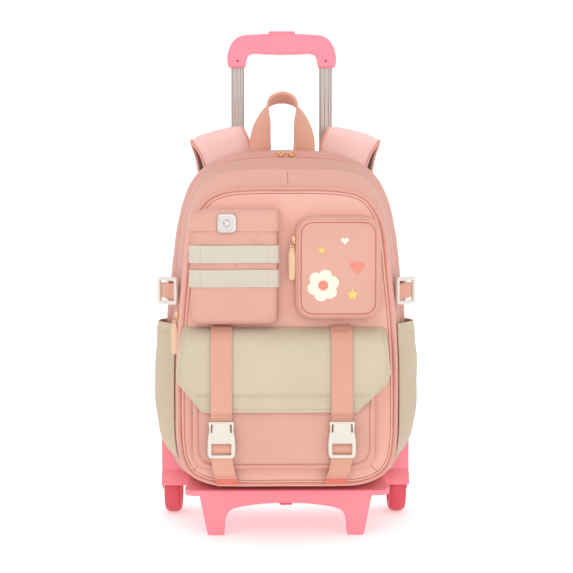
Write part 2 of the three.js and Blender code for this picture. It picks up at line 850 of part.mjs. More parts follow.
// Depths from the pocket's base (0) to the buckle's middle (1), heights from the bag's bottom edge (0)
// to the buckle's bottom (1)
const lowerStrapRows = [
  { up: -0.02, out: 0.02, lean: 1 },
  { up: 0.2, out: 0.1, lean: 0.85 },
  { up: 0.38, out: 0.46, lean: 0.65 },
  { up: 0.54, out: 0.76, lean: 0.45 },
  { up: 0.74, out: 0.86, lean: 0.25 },
  { up: 0.99, out: 0.92, lean: 0 },
];

function lowerStrap(across, side) {
  const bottom = bagBottom + panelLift;
  const middle = buckleFrom + buckleThickness / 2 - pocketBase;
  const points = lowerStrapRows.map(({ up, out, lean }) => new THREE.Vector3(
    across - side * lean * lowerStrapLean,
    -(pocketBase + webbingWall + out * middle),
    THREE.MathUtils.lerp(bottom, buckleBottom - gap, up)));
  const curve = new THREE.CatmullRomCurve3(points, false, 'centripetal');
  return clothBody((u, v) => {
    const point = curve.getPoint(v);
    point.x += (u - 0.5) * strapWidth;
    return point;
  }, 1, 12, webbingWall);
}

// Outlines of both halves from the joint between them: shares of the half width and of each half's height
const maleRows = [
  { up: 0, out: 0.78 },
  { up: 0.25, out: 0.72 },
  { up: 0.5, out: 0.94 },
  { up: 1, out: 0.94 },
];
const femaleRows = [
  { up: -1, out: 0.86 },
  { up: -0.92, out: 0.98 },
  { up: -0.6, out: 1 },
  { up: -0.3, out: 0.94 },
  { up: 0, out: 0.8 },
];
const prongOut = 0.6;
const prongIn = 0.3;

function buckleOutline(rows, height) {
  const half = buckleWidth / 2;
  const right = rows.map(({ up, out }) => new THREE.Vector2(out * half, up * height));
  const left = rows.map(({ up, out }) => new THREE.Vector2(-out * half, up * height)).reverse();
  return [...right, ...left];
}

// Male half: a bar between two ears for the webbing, and two prongs that reach into the female half
function maleBuckle() {
  const half = buckleWidth / 2;
  const body = buckleOutline(maleRows, maleHeight).map((point) => point.add(new THREE.Vector2(0, gap)));
  const plate = new THREE.Shape(body);
  plate.holes.push(roundedRectangle(strapWidth + gap * 4, maleHeight * 0.24, 1, 0, maleHeight * 0.76));
  const prongs = [-1, 1].map((side) => box(
    half * (prongOut - prongIn), buckleThickness * 0.5, prongLength + gap * 4,
    side * half * (prongOut + prongIn) / 2, -buckleThickness / 2, -prongLength / 2 + gap * 2));
  return join(frontPlate(plate, buckleThickness * 0.25, buckleThickness * 0.5), ...prongs);
}

// Female half: a shell with a pocket for the prongs and a window for the lower webbing
function femaleBuckle() {
  const shape = new THREE.Shape(buckleOutline(femaleRows, femaleHeight));
  const window = femaleHeight * femaleWindow;
  const level = -femaleHeight * 0.92 + window / 2;
  shape.holes.push(roundedRectangle(strapWidth - gap * 8, window, buckleRound, 0, level));
  const shell = frontPlate(shape, 0, buckleThickness, buckleRound / 2);
  const reach = prongLength + gap * 2;
  const mouthWidth = buckleWidth * prongOut + gap * 2;
  const mouth = box(mouthWidth, buckleThickness * 0.5 + gap * 2, reach * 2, 0, -buckleThickness / 2, 0);
  return cut(shell, mouth);
}

for (const [name, side] of [['l', -1], ['r', 1]]) {
  const across = strapShift + side * strapSpread;
  addPiece(sewn, `strap_upper_${name}`, upperStrap(across), 'coral');
  const male = addPiece(sewn, `buckle_male_${name}`, maleBuckle(), 'ivory');
  const female = addPiece(sewn, `buckle_female_${name}`, femaleBuckle(), 'ivory');
  for (const half of [male, female]) {
    half.position.set(across, -buckleFrom, buckleLevel);
  }
  addPiece(sewn, `strap_lower_${name}`, lowerStrap(across, side), 'coral');
}

// Zip sliders on the bag

const mainSliderSpread = sliderLength / 2 + gap * 2;
const topAt = (depth) => Math.max(...mainLoopAt(depth).map((point) => point.y));
const mainFall = topAt(mainZipDepth - mainZipWidth) - topAt(mainZipDepth + mainZipWidth);
const mainSlope = Math.atan2(mainFall, mainZipWidth * 2);
for (const [name, side] of [['l', -1], ['r', 1]]) {
  const lying = sliderBody().rotateX(-Math.PI / 2).rotateZ(Math.PI / 2);
  const slider = addPiece(sewn, `main_slider_${name}`, lying, 'gold');
  slider.position.set(side * mainSliderSpread, -mainZipDepth, topAt(mainZipDepth) + gap * 2);
  slider.rotation.x = mainSlope;
}

const frontSliderLevel = frontZipEnd + sliderLength;
const besideZip = mainLoopAt(frontZipDepth - pullWidth / 2);
const frontSliderAcross = -reachAt(besideZip, frontSliderLevel - sliderLength / 2) - gap;
const frontPullAcross = -reachAt(besideZip, frontSliderLevel - pullLength - sliderLength) - gap;
placeTurned(addPiece(sewn, 'front_slider', sliderBody(), 'gold'),
  frontSliderAcross, frontZipDepth, frontSliderLevel, sideTurn);
placeTurned(addPiece(sewn, 'front_pull', pullBody(), 'leather'),
  frontPullAcross, frontZipDepth, frontSliderLevel - sliderLength / 2 - gap, sideTurn);

// Side pockets: open at the top, sewn to the main wall at the front, the rear and the bottom

const sidePocketRows = [
  { up: 0, out: 0.02 },
  { up: 0.05, out: 0.32 },
  { up: 0.2, out: 0.78 },
  { up: 0.45, out: 1 },
  { up: 0.75, out: 0.92 },
  { up: 1, out: 0.7 },
];
const seamLift = gap * 4 + clothWall;

function sidePocket(side) {
  return clothBody((u, v) => {
    const up = v ** 1.6;
    const depth = THREE.MathUtils.lerp(sidePocketFront, sidePocketRear, u);
    const level = THREE.MathUtils.lerp(sidePocketBottom, sidePocketTop, up);
    const bulge = readTable(sidePocketRows, 'up', up, 'out') * Math.sin(Math.PI * u) ** 0.8 * sidePocketBulge;
    const reach = reachAt(mainLoopAt(depth), level) + seamLift + bulge;
    return new THREE.Vector3(side * reach, -depth, level);
  }, 8, 6, clothWall);
}

// A flat frame of two windows at the front corner of the bag, on a strap that runs to the rear seam
function sideBuckle() {
  const shape = roundedRectangle(sideBuckleLength, sideBuckleHeight, sideBuckleRound);
  const windowWidth = (sideBuckleLength - sideBuckleRail * 3) / 2;
  const windowHeight = sideBuckleHeight - sideBuckleRail * 2;
  for (const side of [-1, 1]) {
    const across = side * (windowWidth + sideBuckleRail) / 2;
    shape.holes.push(roundedRectangle(windowWidth, windowHeight, sideBuckleRound / 3, across, 0));
  }
  return frontPlate(shape, -sideBuckleThickness / 2, sideBuckleThickness);
}

function ribbon(points, width, columns, rows, wall) {
  const curve = new THREE.CatmullRomCurve3(points, false, 'centripetal');
  return clothBody((u, v) => {
    const point = curve.getPoint(v);
    point.z += (u - 0.5) * width;
    return point;
  }, columns, rows, wall);
}

const sideBuckleAngle = THREE.MathUtils.degToRad(sideBuckleTurn);
const sideReach = reachAt(mainLoopAt(mainEnd), sideBuckleLevel);
const sideBuckleStart = { x: sideReach + 5, depth: mainFront + 3 };

// A point on the buckle's middle plane: along it from its front end, off it outwards
function sideBucklePoint(along, off = 0) {
  const x = sideBuckleStart.x + along * Math.cos(sideBuckleAngle) + off * Math.sin(sideBuckleAngle);
  const depth = sideBuckleStart.depth - along * Math.sin(sideBuckleAngle) + off * Math.cos(sideBuckleAngle);
  return new THREE.Vector3(x, -depth, sideBuckleLevel);
}

function mirrored(points, side) {
  return points.map((point) => new THREE.Vector3(side * point.x, point.y, point.z));
}

for (const [name, side] of [['l', -1], ['r', 1]]) {
  addPiece(sewn, `side_pocket_${name}`, sidePocket(side), 'sand');
  const frame = addPiece(sewn, `side_buckle_${name}`, sideBuckle(), 'ivory');
  const middle = sideBucklePoint(sideBuckleLength / 2);
  frame.position.set(side * middle.x, middle.y, middle.z);
  frame.rotation.z = side * sideBuckleAngle;
  const behind = -(sideBuckleThickness + webbingWall) / 2 - gap * 4;
  const rearReach = reachAt(mainLoop, sideBuckleLevel) + webbingWall + gap;
  const strap = [
    new THREE.Vector3(sideReach + webbingWall, -mainFront, sideBuckleLevel),
    sideBucklePoint(sideBuckleLength * 0.2, behind),
    sideBucklePoint(sideBuckleLength * 0.85, behind),
    sideBucklePoint(sideBuckleLength * 1.08, behind),
    new THREE.Vector3(rearReach + clothWall * 2, -(sidePocketFront + sidePocketRear) / 2, sideBuckleLevel),
    new THREE.Vector3(rearReach, -sidePocketRear, sideBuckleLevel),
  ];
  const webbing = ribbon(mirrored(strap, side), sideWebbing, 1, 12, webbingWall);
  addPiece(sewn, `side_strap_${name}`, webbing, 'coral');
}

// Haul loop: its legs face the front, twist edge-on on the way up, and the crest leans back

const loopRows = [
  { share: 0, out: 0.98, up: 0, turn: 180 },
  { share: 0.12, out: 0.98, up: 0.24, turn: 160 },
  { share: 0.24, out: 0.86, up: 0.54, turn: 125 },
  { share: 0.34, out: 0.7, up: 0.8, turn: 88 },
  { share: 0.42, out: 0.42, up: 0.95, turn: 62 },
  { share: 0.5, out: 0, up: 1, turn: 56 },
];

function haulLoop() {
  const half = loopRows.slice(0, -1);
  const farHalf = half.reverse().map((row) => ({ ...row, share: 1 - row.share, out: -row.out }));
  const rise = loopRise - loopWall;
  const points = [...loopRows, ...farHalf].map(({ out, up }) => (
    new THREE.Vector3(loopShift + out * loopSpread, -loopDepth, bagTop - gap + up * rise)));
  const curve = new THREE.CatmullRomCurve3(points, false, 'centripetal');
  return clothBody((u, v) => {
    const share = 0.5 - Math.abs(v - 0.5);
    const along = curve.getTangent(v);
    const turn = THREE.MathUtils.degToRad(readTable(loopRows, 'share', share, 'turn'));
    const flat = new THREE.Vector3(-along.z, 0, along.x).multiplyScalar(Math.cos(turn));
    flat.y = Math.sin(turn);
    return curve.getPoint(v).addScaledVector(flat, (u - 0.5) * loopWidth);
  }, 1, 20, loopWall);
}

addPiece(sewn, 'haul_loop', haulLoop(), 'coral');

// Shoulder straps: padded bands that rise from the top rear edge, fold over and hang down behind

const shoulderRows = [
  { up: -0.3, back: 0.34, splay: 0, tilt: 1, wide: 0.9, thick: 0.7 },
  { up: 0.35, back: 0.34, splay: 0.35, tilt: 1, wide: 0.96, thick: 0.72 },
  { up: 0.76, back: 0.44, splay: 0.8, tilt: 1, wide: 1, thick: 0.8 },
  { up: 0.93, back: 0.76, splay: 1, tilt: 1, wide: 1, thick: 0.9 },
  { up: 0.76, back: 1.12, splay: 0.95, tilt: 1, wide: 1, thick: 0.9 },
  { up: 0.2, back: 1.2, splay: 0.6, tilt: 0.9, wide: 1, thick: 0.95 },
  { up: -1, back: 1.05, splay: 0.2, tilt: 0.4, wide: 1, thick: 1 },
  { up: -3.4, back: 0.75, splay: 0.3, tilt: 0, wide: 0.94, thick: 1 },
  { up: -5.4, back: 0.62, splay: 0.6, tilt: 0, wide: 0.8, thick: 0.9 },
  { up: -6.4, back: 0.56, splay: 0.8, tilt: 0, wide: 0.55, thick: 0.6 },
];

function shoulderPoint(row, side) {
  const base = reachTop(shoulderSpread);
  const hang = shoulderDrop / 6.4;
  const rise = row.up > 0 ? row.up * shoulderRise : row.up * hang;
  const across = shoulderSpread + row.splay * shoulderSplay;
  return new THREE.Vector3(side * across, row.back * shoulderBack, base + rise);
}

// How high the bag's top reaches at a distance from its middle
function reachTop(across) {
  const right = mainLoop.filter((point) => point.x >= 0 && point.y > bagBottom + bagHeight / 2);
  const ordered = right.sort((a, b) => a.x - b.x);
  const next = ordered.findIndex((point) => point.x > across);
  const share = (across - ordered[next - 1].x) / (ordered[next].x - ordered[next - 1].x);
  return THREE.MathUtils.lerp(ordered[next - 1].y, ordered[next].y, share);
}

const shoulderSection = [
  { across: -0.5, off: 0 },
  { across: -0.42, off: -0.5 },
  { across: 0.42, off: -0.5 },
  { across: 0.5, off: 0 },
  { across: 0.42, off: 0.5 },
  { across: -0.42, off: 0.5 },
];

function shoulderStrap(side) {
  const points = shoulderRows.map((row) => shoulderPoint(row, side));
  const curve = new THREE.CatmullRomCurve3(points, false, 'centripetal');
  const stations = 26;
  const rings = spread(0, 1, stations).map((share) => {
    const place = share * (shoulderRows.length - 1);
    const low = Math.min(Math.floor(place), shoulderRows.length - 2);
    const [before, after] = shoulderRows.slice(low, low + 2);
    const column = (key) => THREE.MathUtils.lerp(before[key], after[key], place - low);
    const wide = column('wide') * shoulderWidth;
    const thick = column('thick') * shoulderThickness;
    const tilt = THREE.MathUtils.degToRad(column('tilt') * shoulderTilt);
    const point = curve.getPoint(share);
    const across = new THREE.Vector3(Math.cos(tilt), 0, -side * Math.sin(tilt));
    const off = across.clone().cross(curve.getTangent(share)).normalize();
    return shoulderSection.map((corner) => point.clone()
      .addScaledVector(across, corner.across * wide)
      .addScaledVector(off, corner.off * thick));
  });
  return bodyFromRings(rings);
}

for (const [name, side] of [['l', -1], ['r', 1]]) {
  addPiece(sewn, `shoulder_strap_${name}`, shoulderStrap(side), 'rose');
  const end = shoulderPoint(shoulderRows[shoulderRows.length - 1], side);
  const start = end.clone().add(new THREE.Vector3(0, 0, -gap * 3));
  const lowAcross = end.x + side * shoulderWebbingSplay;
  const low = new THREE.Vector3(lowAcross, webbingWall + gap, end.z - shoulderWebbingDrop);
  const belt = clothBody((u, v) => {
    const point = start.clone().lerp(low, v);
    point.x += (u - 0.5) * shoulderWebbing;
    return point;
  }, 1, 2, webbingWall);
  addPiece(sewn, `shoulder_webbing_${name}`, belt, 'coral');
}

// Trolley base: a tray under the bag with a two-legged stand at its front, in one moulding

function standShape() {
  const half = standTopWidth / 2;
  const foot = standFootOuter / 2;
  const inner = foot - standFootWidth;
  const top = standHeight + trayThickness / 2;
  const shape = new THREE.Shape();
  shape.moveTo(-half, top);
  shape.lineTo(-foot, 0);
  shape.lineTo(-inner, 0);
  shape.quadraticCurveTo(-inner, standShoulder, -inner + standFootWidth, standShoulder);
  shape.quadraticCurveTo(-inner / 2, standArch, 0, standArch);
  shape.quadraticCurveTo(inner / 2, standArch, inner - standFootWidth, standShoulder);
  shape.quadraticCurveTo(inner, standShoulder, inner, 0);
  shape.lineTo(foot, 0);
  shape.lineTo(half, top);
  shape.closePath();
  return shape;
}

const trayDepth = trayFront + trayRear;
const trayShape = roundedRectangle(trayWidth, trayDepth, trayCorner, 0, (trayRear - trayFront) / 2);
const tray = bevelled(trayShape, trayThickness, trayBevel).translate(0, 0, standHeight);
const stand = frontPlate(standShape(), trayFront - standDepth - 1, standDepth);
addPiece(trolley, 'base_tray', join(tray, stand), 'pink');

// Rear wall: a shell open below that stands on the tray and holds the feet of the outer tubes

const wallFront = gap * 3;
const wallDepth = trayRear - wallFront - 1;
const wallMiddle = wallFront + wallDepth / 2;
const wallWidth = trayWidth - 2;
const wallShape = roundedRectangle(wallWidth, wallDepth, rearWallCorner, 0, wallMiddle);
const rearShell = bevelled(wallShape, rearWallHeight, rearWallBevel);
const rearHollow = box(
  wallWidth - rearWallShell * 2, wallDepth - rearWallShell * 2, rearWallHeight * 2,
  0, wallMiddle, -rearWallShell);
const tubeCutters = [-1, 1].map((side) => box(
  outerTubeWidth + gap * 2, outerTubeDepth + gap * 2, rearWallHeight,
  handleShift + side * tubeSpacing / 2, tubeBack, rearWallHeight));
const rearWall = addPiece(trolley, 'rear_wall', cut(rearShell, rearHollow, ...tubeCutters), 'pink');
rearWall.position.z = trayTop + gap;

// Wheel housings: arched guards beside the tray, open below, with the axle through both their walls

const wheelMiddle = wheelInner + wheelWidth / 2;
const wellRadius = wheelRadius + wheelGap;

function cylinderAcross(radius, length, facets) {
  return new THREE.CylinderGeometry(radius, radius, length, facets).rotateZ(Math.PI / 2);
}

function housingShape() {
  const outerRadius = wellRadius + housingShell;
  const front = wheelBack - outerRadius;
  const back = wheelBack + outerRadius;
  const wallAt = gap * 3;
  const meet = Math.sqrt(outerRadius ** 2 - (wheelBack - wallAt) ** 2);
  const shape = new THREE.Shape();
  shape.moveTo(front, housingBottom);
  const from = Math.PI - Math.asin((housingBottom - wheelRadius) / outerRadius);
  const to = Math.PI - Math.atan2(meet, wheelBack - wallAt);
  shape.absarc(wheelBack, wheelRadius, outerRadius, from, to, true);
  shape.lineTo(wallAt, housingTop - housingRound);
  shape.quadraticCurveTo(wallAt, housingTop, wallAt + housingRound, housingTop);
  shape.lineTo(wheelBack, housingTop);
  shape.quadraticCurveTo(back, housingTop, back, housingTop * 0.6);
  shape.lineTo(back, housingBottom);
  shape.closePath();
  return shape;
}

function wheelHousing(side) {
  const width = housingOuter - housingInner;
  const body = sidePlate(housingShape(), housingInner, width, housingBevel);
  const wellWidth = housingOuter - housingShell - housingInner - housingInnerWall;
  const wellMiddle = housingOuter - housingShell - wellWidth / 2;
  const round = cylinderAcross(wellRadius, wellWidth, wheelFacets);
  const well = join(round.translate(wellMiddle, wheelBack, wheelRadius),
    box(wellWidth, wellRadius * 2, wheelRadius, wellMiddle, wheelBack, wheelRadius / 2));
  const bore = cylinderAcross(axleRadius + gap, width * 3, hubFacets);
  const housing = cut(body, well, bore.translate(housingInner, wheelBack, wheelRadius));
  return side > 0 ? housing : mirrorAcross(housing);
}

// The same solid on the other side of x = 0
function mirrorAcross(geometry) {
  const position = geometry.attributes.position;
  const points = Array.from({ length: position.count }, (_, i) => (
    new THREE.Vector3(-position.getX(i), position.getY(i), position.getZ(i))));
  const order = Array.from(geometry.index.array);
  const triangles = Array.from({ length: order.length / 3 }, (_, i) => order.slice(i * 3, i * 3 + 3));
  return closedGeometry(points, triangles);
}

// The wheel rests on one of its flats
const facetRadius = wheelRadius / Math.cos(Math.PI / wheelFacets);

function tyre() {
  const half = wheelWidth / 2;
  const rim = hubRadius + gap;
  const crown = facetRadius - wheelRadius * 0.04;
  const profile = [
    new THREE.Vector2(rim, -half * 0.8),
    new THREE.Vector2(crown - 3, -half),
    new THREE.Vector2(crown, -half * 0.75),
    new THREE.Vector2(facetRadius, -half * 0.4),
    new THREE.Vector2(facetRadius, half * 0.4),
    new THREE.Vector2(crown, half * 0.75),
    new THREE.Vector2(crown - 3, half),
    new THREE.Vector2(rim, half * 0.8),
    new THREE.Vector2(rim, -half * 0.8),
  ];
  const lathe = new THREE.LatheGeometry(profile, wheelFacets, Math.PI / wheelFacets);
  return lathe.rotateZ(Math.PI / 2).rotateX(Math.PI / 2);
}

function hub() {
  const half = wheelWidth / 2;
  const bore = axleRadius + gap;
  const profile = [
    new THREE.Vector2(bore, -half * 0.9),
    new THREE.Vector2(axleRadius * 3, -half * 0.9),
    new THREE.Vector2(axleRadius * 3.4, -half * 0.5),
    new THREE.Vector2(hubRadius * 0.84, -half * 0.5),
    new THREE.Vector2(hubRadius * 0.9, -half * 0.76),
    new THREE.Vector2(hubRadius, -half * 0.76),
    new THREE.Vector2(hubRadius, half * 0.76),
    new THREE.Vector2(hubRadius * 0.9, half * 0.76),
    new THREE.Vector2(hubRadius * 0.84, half * 0.5),
    new THREE.Vector2(axleRadius * 3.4, half * 0.5),
    new THREE.Vector2(axleRadius * 3, half * 0.9),
    new THREE.Vector2(bore, half * 0.9),
    new THREE.Vector2(bore, -half * 0.9),
  ];
  return new THREE.LatheGeometry(profile, hubFacets).rotateZ(Math.PI / 2);
}

function axle(side) {
  const inner = housingInner + gap;
  const length = housingOuter + 1 - inner;
  const pin = cylinderAcross(axleRadius, length, hubFacets);
  return pin.translate(side * (inner + length / 2), wheelBack, wheelRadius);
}

for (const [name, side] of [['l', -1], ['r', 1]]) {
  addPiece(trolley, `wheel_housing_${name}`, wheelHousing(side), 'pink');
  addPiece(trolley, `axle_${name}`, axle(side), 'steel');
  const wheel = addPiece(trolley, `wheel_${name}`, tyre(), 'tyre');
  const centre = addPiece(trolley, `wheel_hub_${name}`, hub(), 'pink');
  for (const piece of [wheel, centre]) {
    piece.position.set(side * wheelMiddle, wheelBack, wheelRadius);
  }
}

// Telescopic handle

function hollowTube(width, depth, wall, length, x, bottom) {
  const shape = roundedRectangle(width, depth, depth * 0.3);
  shape.holes.push(roundedRectangle(width - wall * 2, depth - wall * 2, depth * 0.3 - wall));
  return bevelled(shape, length, 0).translate(x, tubeBack, bottom);
}

const tubeFoot = trayTop + gap;
const armBottom = gripTop - gripArmDrop;
const innerTubeTop = armBottom + gripSocket - gap;
for (const [name, side] of [['l', -1], ['r', 1]]) {
  const across = handleShift + side * tubeSpacing / 2;
  const outerLength = outerTubeTop - tubeFoot;
  const outer = hollowTube(outerTubeWidth, outerTubeDepth, tubeWall, outerLength, across, tubeFoot);
  addPiece(trolley, `outer_tube_${name}`, outer, 'tube');
  const bottom = innerTubeTop - innerTubeLength;
  const inner = hollowTube(innerTubeWidth, innerTubeDepth, tubeWall, innerTubeLength, across, bottom);
  addPiece(handle, `inner_tube_${name}`, inner, 'tube');
}

// A bracket keeps the tops of the outer tubes apart; the inner tubes slide through it
const bracketWidth = tubeSpacing + outerTubeWidth + bracketWall * 2;
const bracketDepth = outerTubeDepth + bracketWall * 2;
const bracketShape = roundedRectangle(bracketWidth, bracketDepth, bracketWall, 0, 0);
const bracketBody = bevelled(bracketShape, bracketHeight, bracketBevel);
const socketReach = bracketHeight * 2 - bracketWall * 2;
const slideWidth = innerTubeWidth + slideGap * 2;
const slideDepth = innerTubeDepth + slideGap * 2;
const bracketSockets = [-1, 1].flatMap((side) => [
  box(outerTubeWidth + gap * 2, outerTubeDepth + gap * 2, socketReach, side * tubeSpacing / 2, 0, 0),
  box(slideWidth, slideDepth, bracketHeight * 3, side * tubeSpacing / 2, 0, 0),
]);
const bracket = addPiece(trolley, 'tube_bracket', cut(bracketBody, ...bracketSockets), 'pink');
bracket.position.set(handleShift, tubeBack, outerTubeTop + gap + bracketWall - bracketHeight);

function gripShape() {
  const half = gripWidth / 2;
  const inner = half - gripArmWidth;
  const shape = new THREE.Shape();
  shape.moveTo(-half, -gripArmDrop);
  shape.lineTo(-inner, -gripArmDrop);
  shape.lineTo(-inner, -gripBar - gripInnerRound);
  shape.quadraticCurveTo(-inner, -gripBar, -inner + gripInnerRound, -gripBar);
  shape.lineTo(inner - gripInnerRound, -gripBar);
  shape.quadraticCurveTo(inner, -gripBar, inner, -gripBar - gripInnerRound);
  shape.lineTo(inner, -gripArmDrop);
  shape.lineTo(half, -gripArmDrop);
  shape.lineTo(half, -gripArch - gripShoulder);
  shape.quadraticCurveTo(half, -gripArch, half - gripShoulder, -gripArch + gap * 3);
  shape.quadraticCurveTo(0, gripArch, -half + gripShoulder, -gripArch + gap * 3);
  shape.quadraticCurveTo(-half, -gripArch, -half, -gripArch - gripShoulder);
  shape.closePath();
  return shape;
}

const gripBody = frontPlate(gripShape(), -gripDepth / 2, gripDepth, gripBevel, edgeSteps);
const socketWidth = innerTubeWidth + gap * 2;
const socketDepth = innerTubeDepth + gap * 2;
const gripSockets = [-1, 1].map((side) => (
  box(socketWidth, socketDepth, gripSocket * 2, side * tubeSpacing / 2, 0, -gripArmDrop)));
const buttonWell = box(buttonWidth + slideGap * 2, buttonDepth + slideGap * 2, buttonHeight * 2, 0, 0, 0);
const grip = addPiece(handle, 'grip', cut(gripBody, ...gripSockets, buttonWell), 'pink');
grip.position.set(handleShift, tubeBack, gripTop);

// The button stands proud of the grip and sinks into its well by as much
const buttonShape = roundedRectangle(buttonWidth, buttonHeight, buttonRound, 0, 0);
const buttonBody = frontPlate(buttonShape, -buttonDepth / 2, buttonDepth, buttonBevel);
const button = addPiece(handle, 'grip_button', buttonBody, 'pink');
button.position.set(handleShift, tubeBack, gripTop + buttonProud - buttonHeight / 2);

// The frame's origin is under the middle of the whole
const bounds = new THREE.Box3().setFromObject(pack);
const centre = bounds.getCenter(new THREE.Vector3());
pack.position.set(-centre.x, -centre.y, -bounds.min.z);

export default pack;
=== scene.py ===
import math

import bpy
import numpy as np
from mathutils import Matrix, Vector, noise


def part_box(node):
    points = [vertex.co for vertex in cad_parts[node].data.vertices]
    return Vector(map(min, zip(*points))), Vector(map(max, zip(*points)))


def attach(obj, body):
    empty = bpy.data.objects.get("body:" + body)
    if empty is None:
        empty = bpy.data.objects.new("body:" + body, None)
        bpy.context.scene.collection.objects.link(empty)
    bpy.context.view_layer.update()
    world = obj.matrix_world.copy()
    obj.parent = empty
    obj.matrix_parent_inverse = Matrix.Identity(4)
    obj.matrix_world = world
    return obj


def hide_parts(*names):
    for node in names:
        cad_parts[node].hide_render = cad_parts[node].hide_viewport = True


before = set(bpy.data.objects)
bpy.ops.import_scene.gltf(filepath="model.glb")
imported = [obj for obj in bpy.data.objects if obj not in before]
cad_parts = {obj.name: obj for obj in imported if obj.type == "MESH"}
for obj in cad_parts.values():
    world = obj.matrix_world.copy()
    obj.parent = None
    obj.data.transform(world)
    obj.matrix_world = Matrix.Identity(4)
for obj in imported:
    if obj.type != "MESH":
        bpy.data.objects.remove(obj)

for name in ("Cube", "Camera", "Light"):
    if name in bpy.data.objects:
        bpy.data.objects.remove(bpy.data.objects[name], do_unlink=True)
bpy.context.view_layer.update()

# Units and directions: pieces are worked out in millimetres as (across, depth, height),
# with depth counted from the rear face of the bag towards the front.
MM = 0.001
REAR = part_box("back_panel")[1].y
SIDES = {"l": -1, "r": 1}


def to_frame(points):
    """Points (across, depth, height) in millimetres, in the frame's metres."""
    points = np.asarray(points, float)
    return np.stack([points[..., 0] * MM, REAR - points[..., 1] * MM, points[..., 2] * MM], axis=-1)


def span(node):
    """Lowest and highest across, depth and height of a CAD node, in millimetres."""
    low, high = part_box(node)
    return {
        "left": low.x / MM, "right": high.x / MM,
        "back": (REAR - high.y) / MM, "front": (REAR - low.y) / MM,
        "bottom": low.z / MM, "top": high.z / MM,
    }


def centre_of(node):
    """Middle across, depth and height of a CAD node, in millimetres."""
    box = span(node)
    return tuple((box[low] + box[high]) / 2 for low, high in (("left", "right"), ("back", "front"),
        ("bottom", "top")))


# Camera, lights and floor

PHOTO_PIXELS = 573
PHOTO_FOCAL_PIXELS = 1470.6
SENSOR = 36.0
VIEW_TURN = math.radians(-1.0)
VIEW_RISE = math.radians(3.5)
VIEW_DISTANCE = 2.0
VIEW_DEPTH = 80.0
VIEW_HEIGHT = 331.0


def place_camera():
    aim = Vector(to_frame([0, VIEW_DEPTH, VIEW_HEIGHT]))
    away = Vector((
        math.sin(VIEW_TURN) * math.cos(VIEW_RISE),
        -math.cos(VIEW_TURN) * math.cos(VIEW_RISE),
        math.sin(VIEW_RISE),
    ))
    lens = bpy.data.cameras.new("photo_camera")
    lens.sensor_width = SENSOR
    lens.lens = SENSOR * PHOTO_FOCAL_PIXELS / PHOTO_PIXELS
    camera = bpy.data.objects.new("photo_camera", lens)
    bpy.context.scene.collection.objects.link(camera)
    camera.location = aim + away * VIEW_DISTANCE
    camera.rotation_euler = (-away).to_track_quat("-Z", "Y").to_euler()
    bpy.context.scene.camera = camera


def add_light(name, place, power, size, colour=(1, 1, 1)):
    lamp = bpy.data.lights.new(name, "AREA")
    lamp.energy = power
    lamp.shape = "DISK"
    lamp.size = size
    lamp.color = colour
    light = bpy.data.objects.new(name, lamp)
    bpy.context.scene.collection.objects.link(light)
    light.location = place
    light.rotation_euler = (Vector((0, 0, 0.35)) - Vector(place)).to_track_quat("-Z", "Y").to_euler()


def light_studio():
    add_light("key_light", (-1.6, -2.4, 2.2), 11, 1.8)
    add_light("fill_light", (2.2, -2.0, 1.0), 5, 2.2)
    add_light("top_light", (0, 0.2, 2.6), 6, 2.0)
    add_light("front_light", (0.3, -3.2, 0.5), 16, 2.6)
    world = bpy.data.worlds.new("studio")
    world.use_nodes = True
    world.node_tree.nodes["Background"].inputs["Color"].default_value = (1, 1, 1, 1)
    world.node_tree.nodes["Background"].inputs["Strength"].default_value = 0.9
    bpy.context.scene.world = world
    bpy.context.scene.view_settings.view_transform = "Standard"


def lay_floor():
    """A floor sheet that bends up behind the bag into a pale wall."""
    bpy.ops.mesh.primitive_grid_add(x_subdivisions=2, y_subdivisions=60, size=14, location=(0, 0, 0))
    floor = bpy.context.object
    floor.name = "studio_floor"
    bend_from, bend_by = 1.6, 1.2
    for vertex in floor.data.vertices:
        beyond = vertex.co.y - bend_from
        if beyond > 0:
            angle = min(beyond / bend_by, math.pi / 2)
            rest = max(beyond - bend_by * math.pi / 2, 0)
            vertex.co.y = bend_from + bend_by * math.sin(angle)
            vertex.co.z = bend_by * (1 - math.cos(angle)) + rest
    bpy.ops.object.shade_smooth()
    paper = bpy.data.materials.new("floor_paper")
    paper.use_nodes = True
    shader = paper.node_tree.nodes["Principled BSDF"]
    shader.inputs["Base Color"].default_value = (0.9, 0.9, 0.9, 1)
    shader.inputs["Roughness"].default_value = 0.95
    shader.inputs["Emission Color"].default_value = (1, 1, 1, 1)
    shader.inputs["Emission Strength"].default_value = 0.3
    floor.data.materials.append(paper)


# Curves and tables

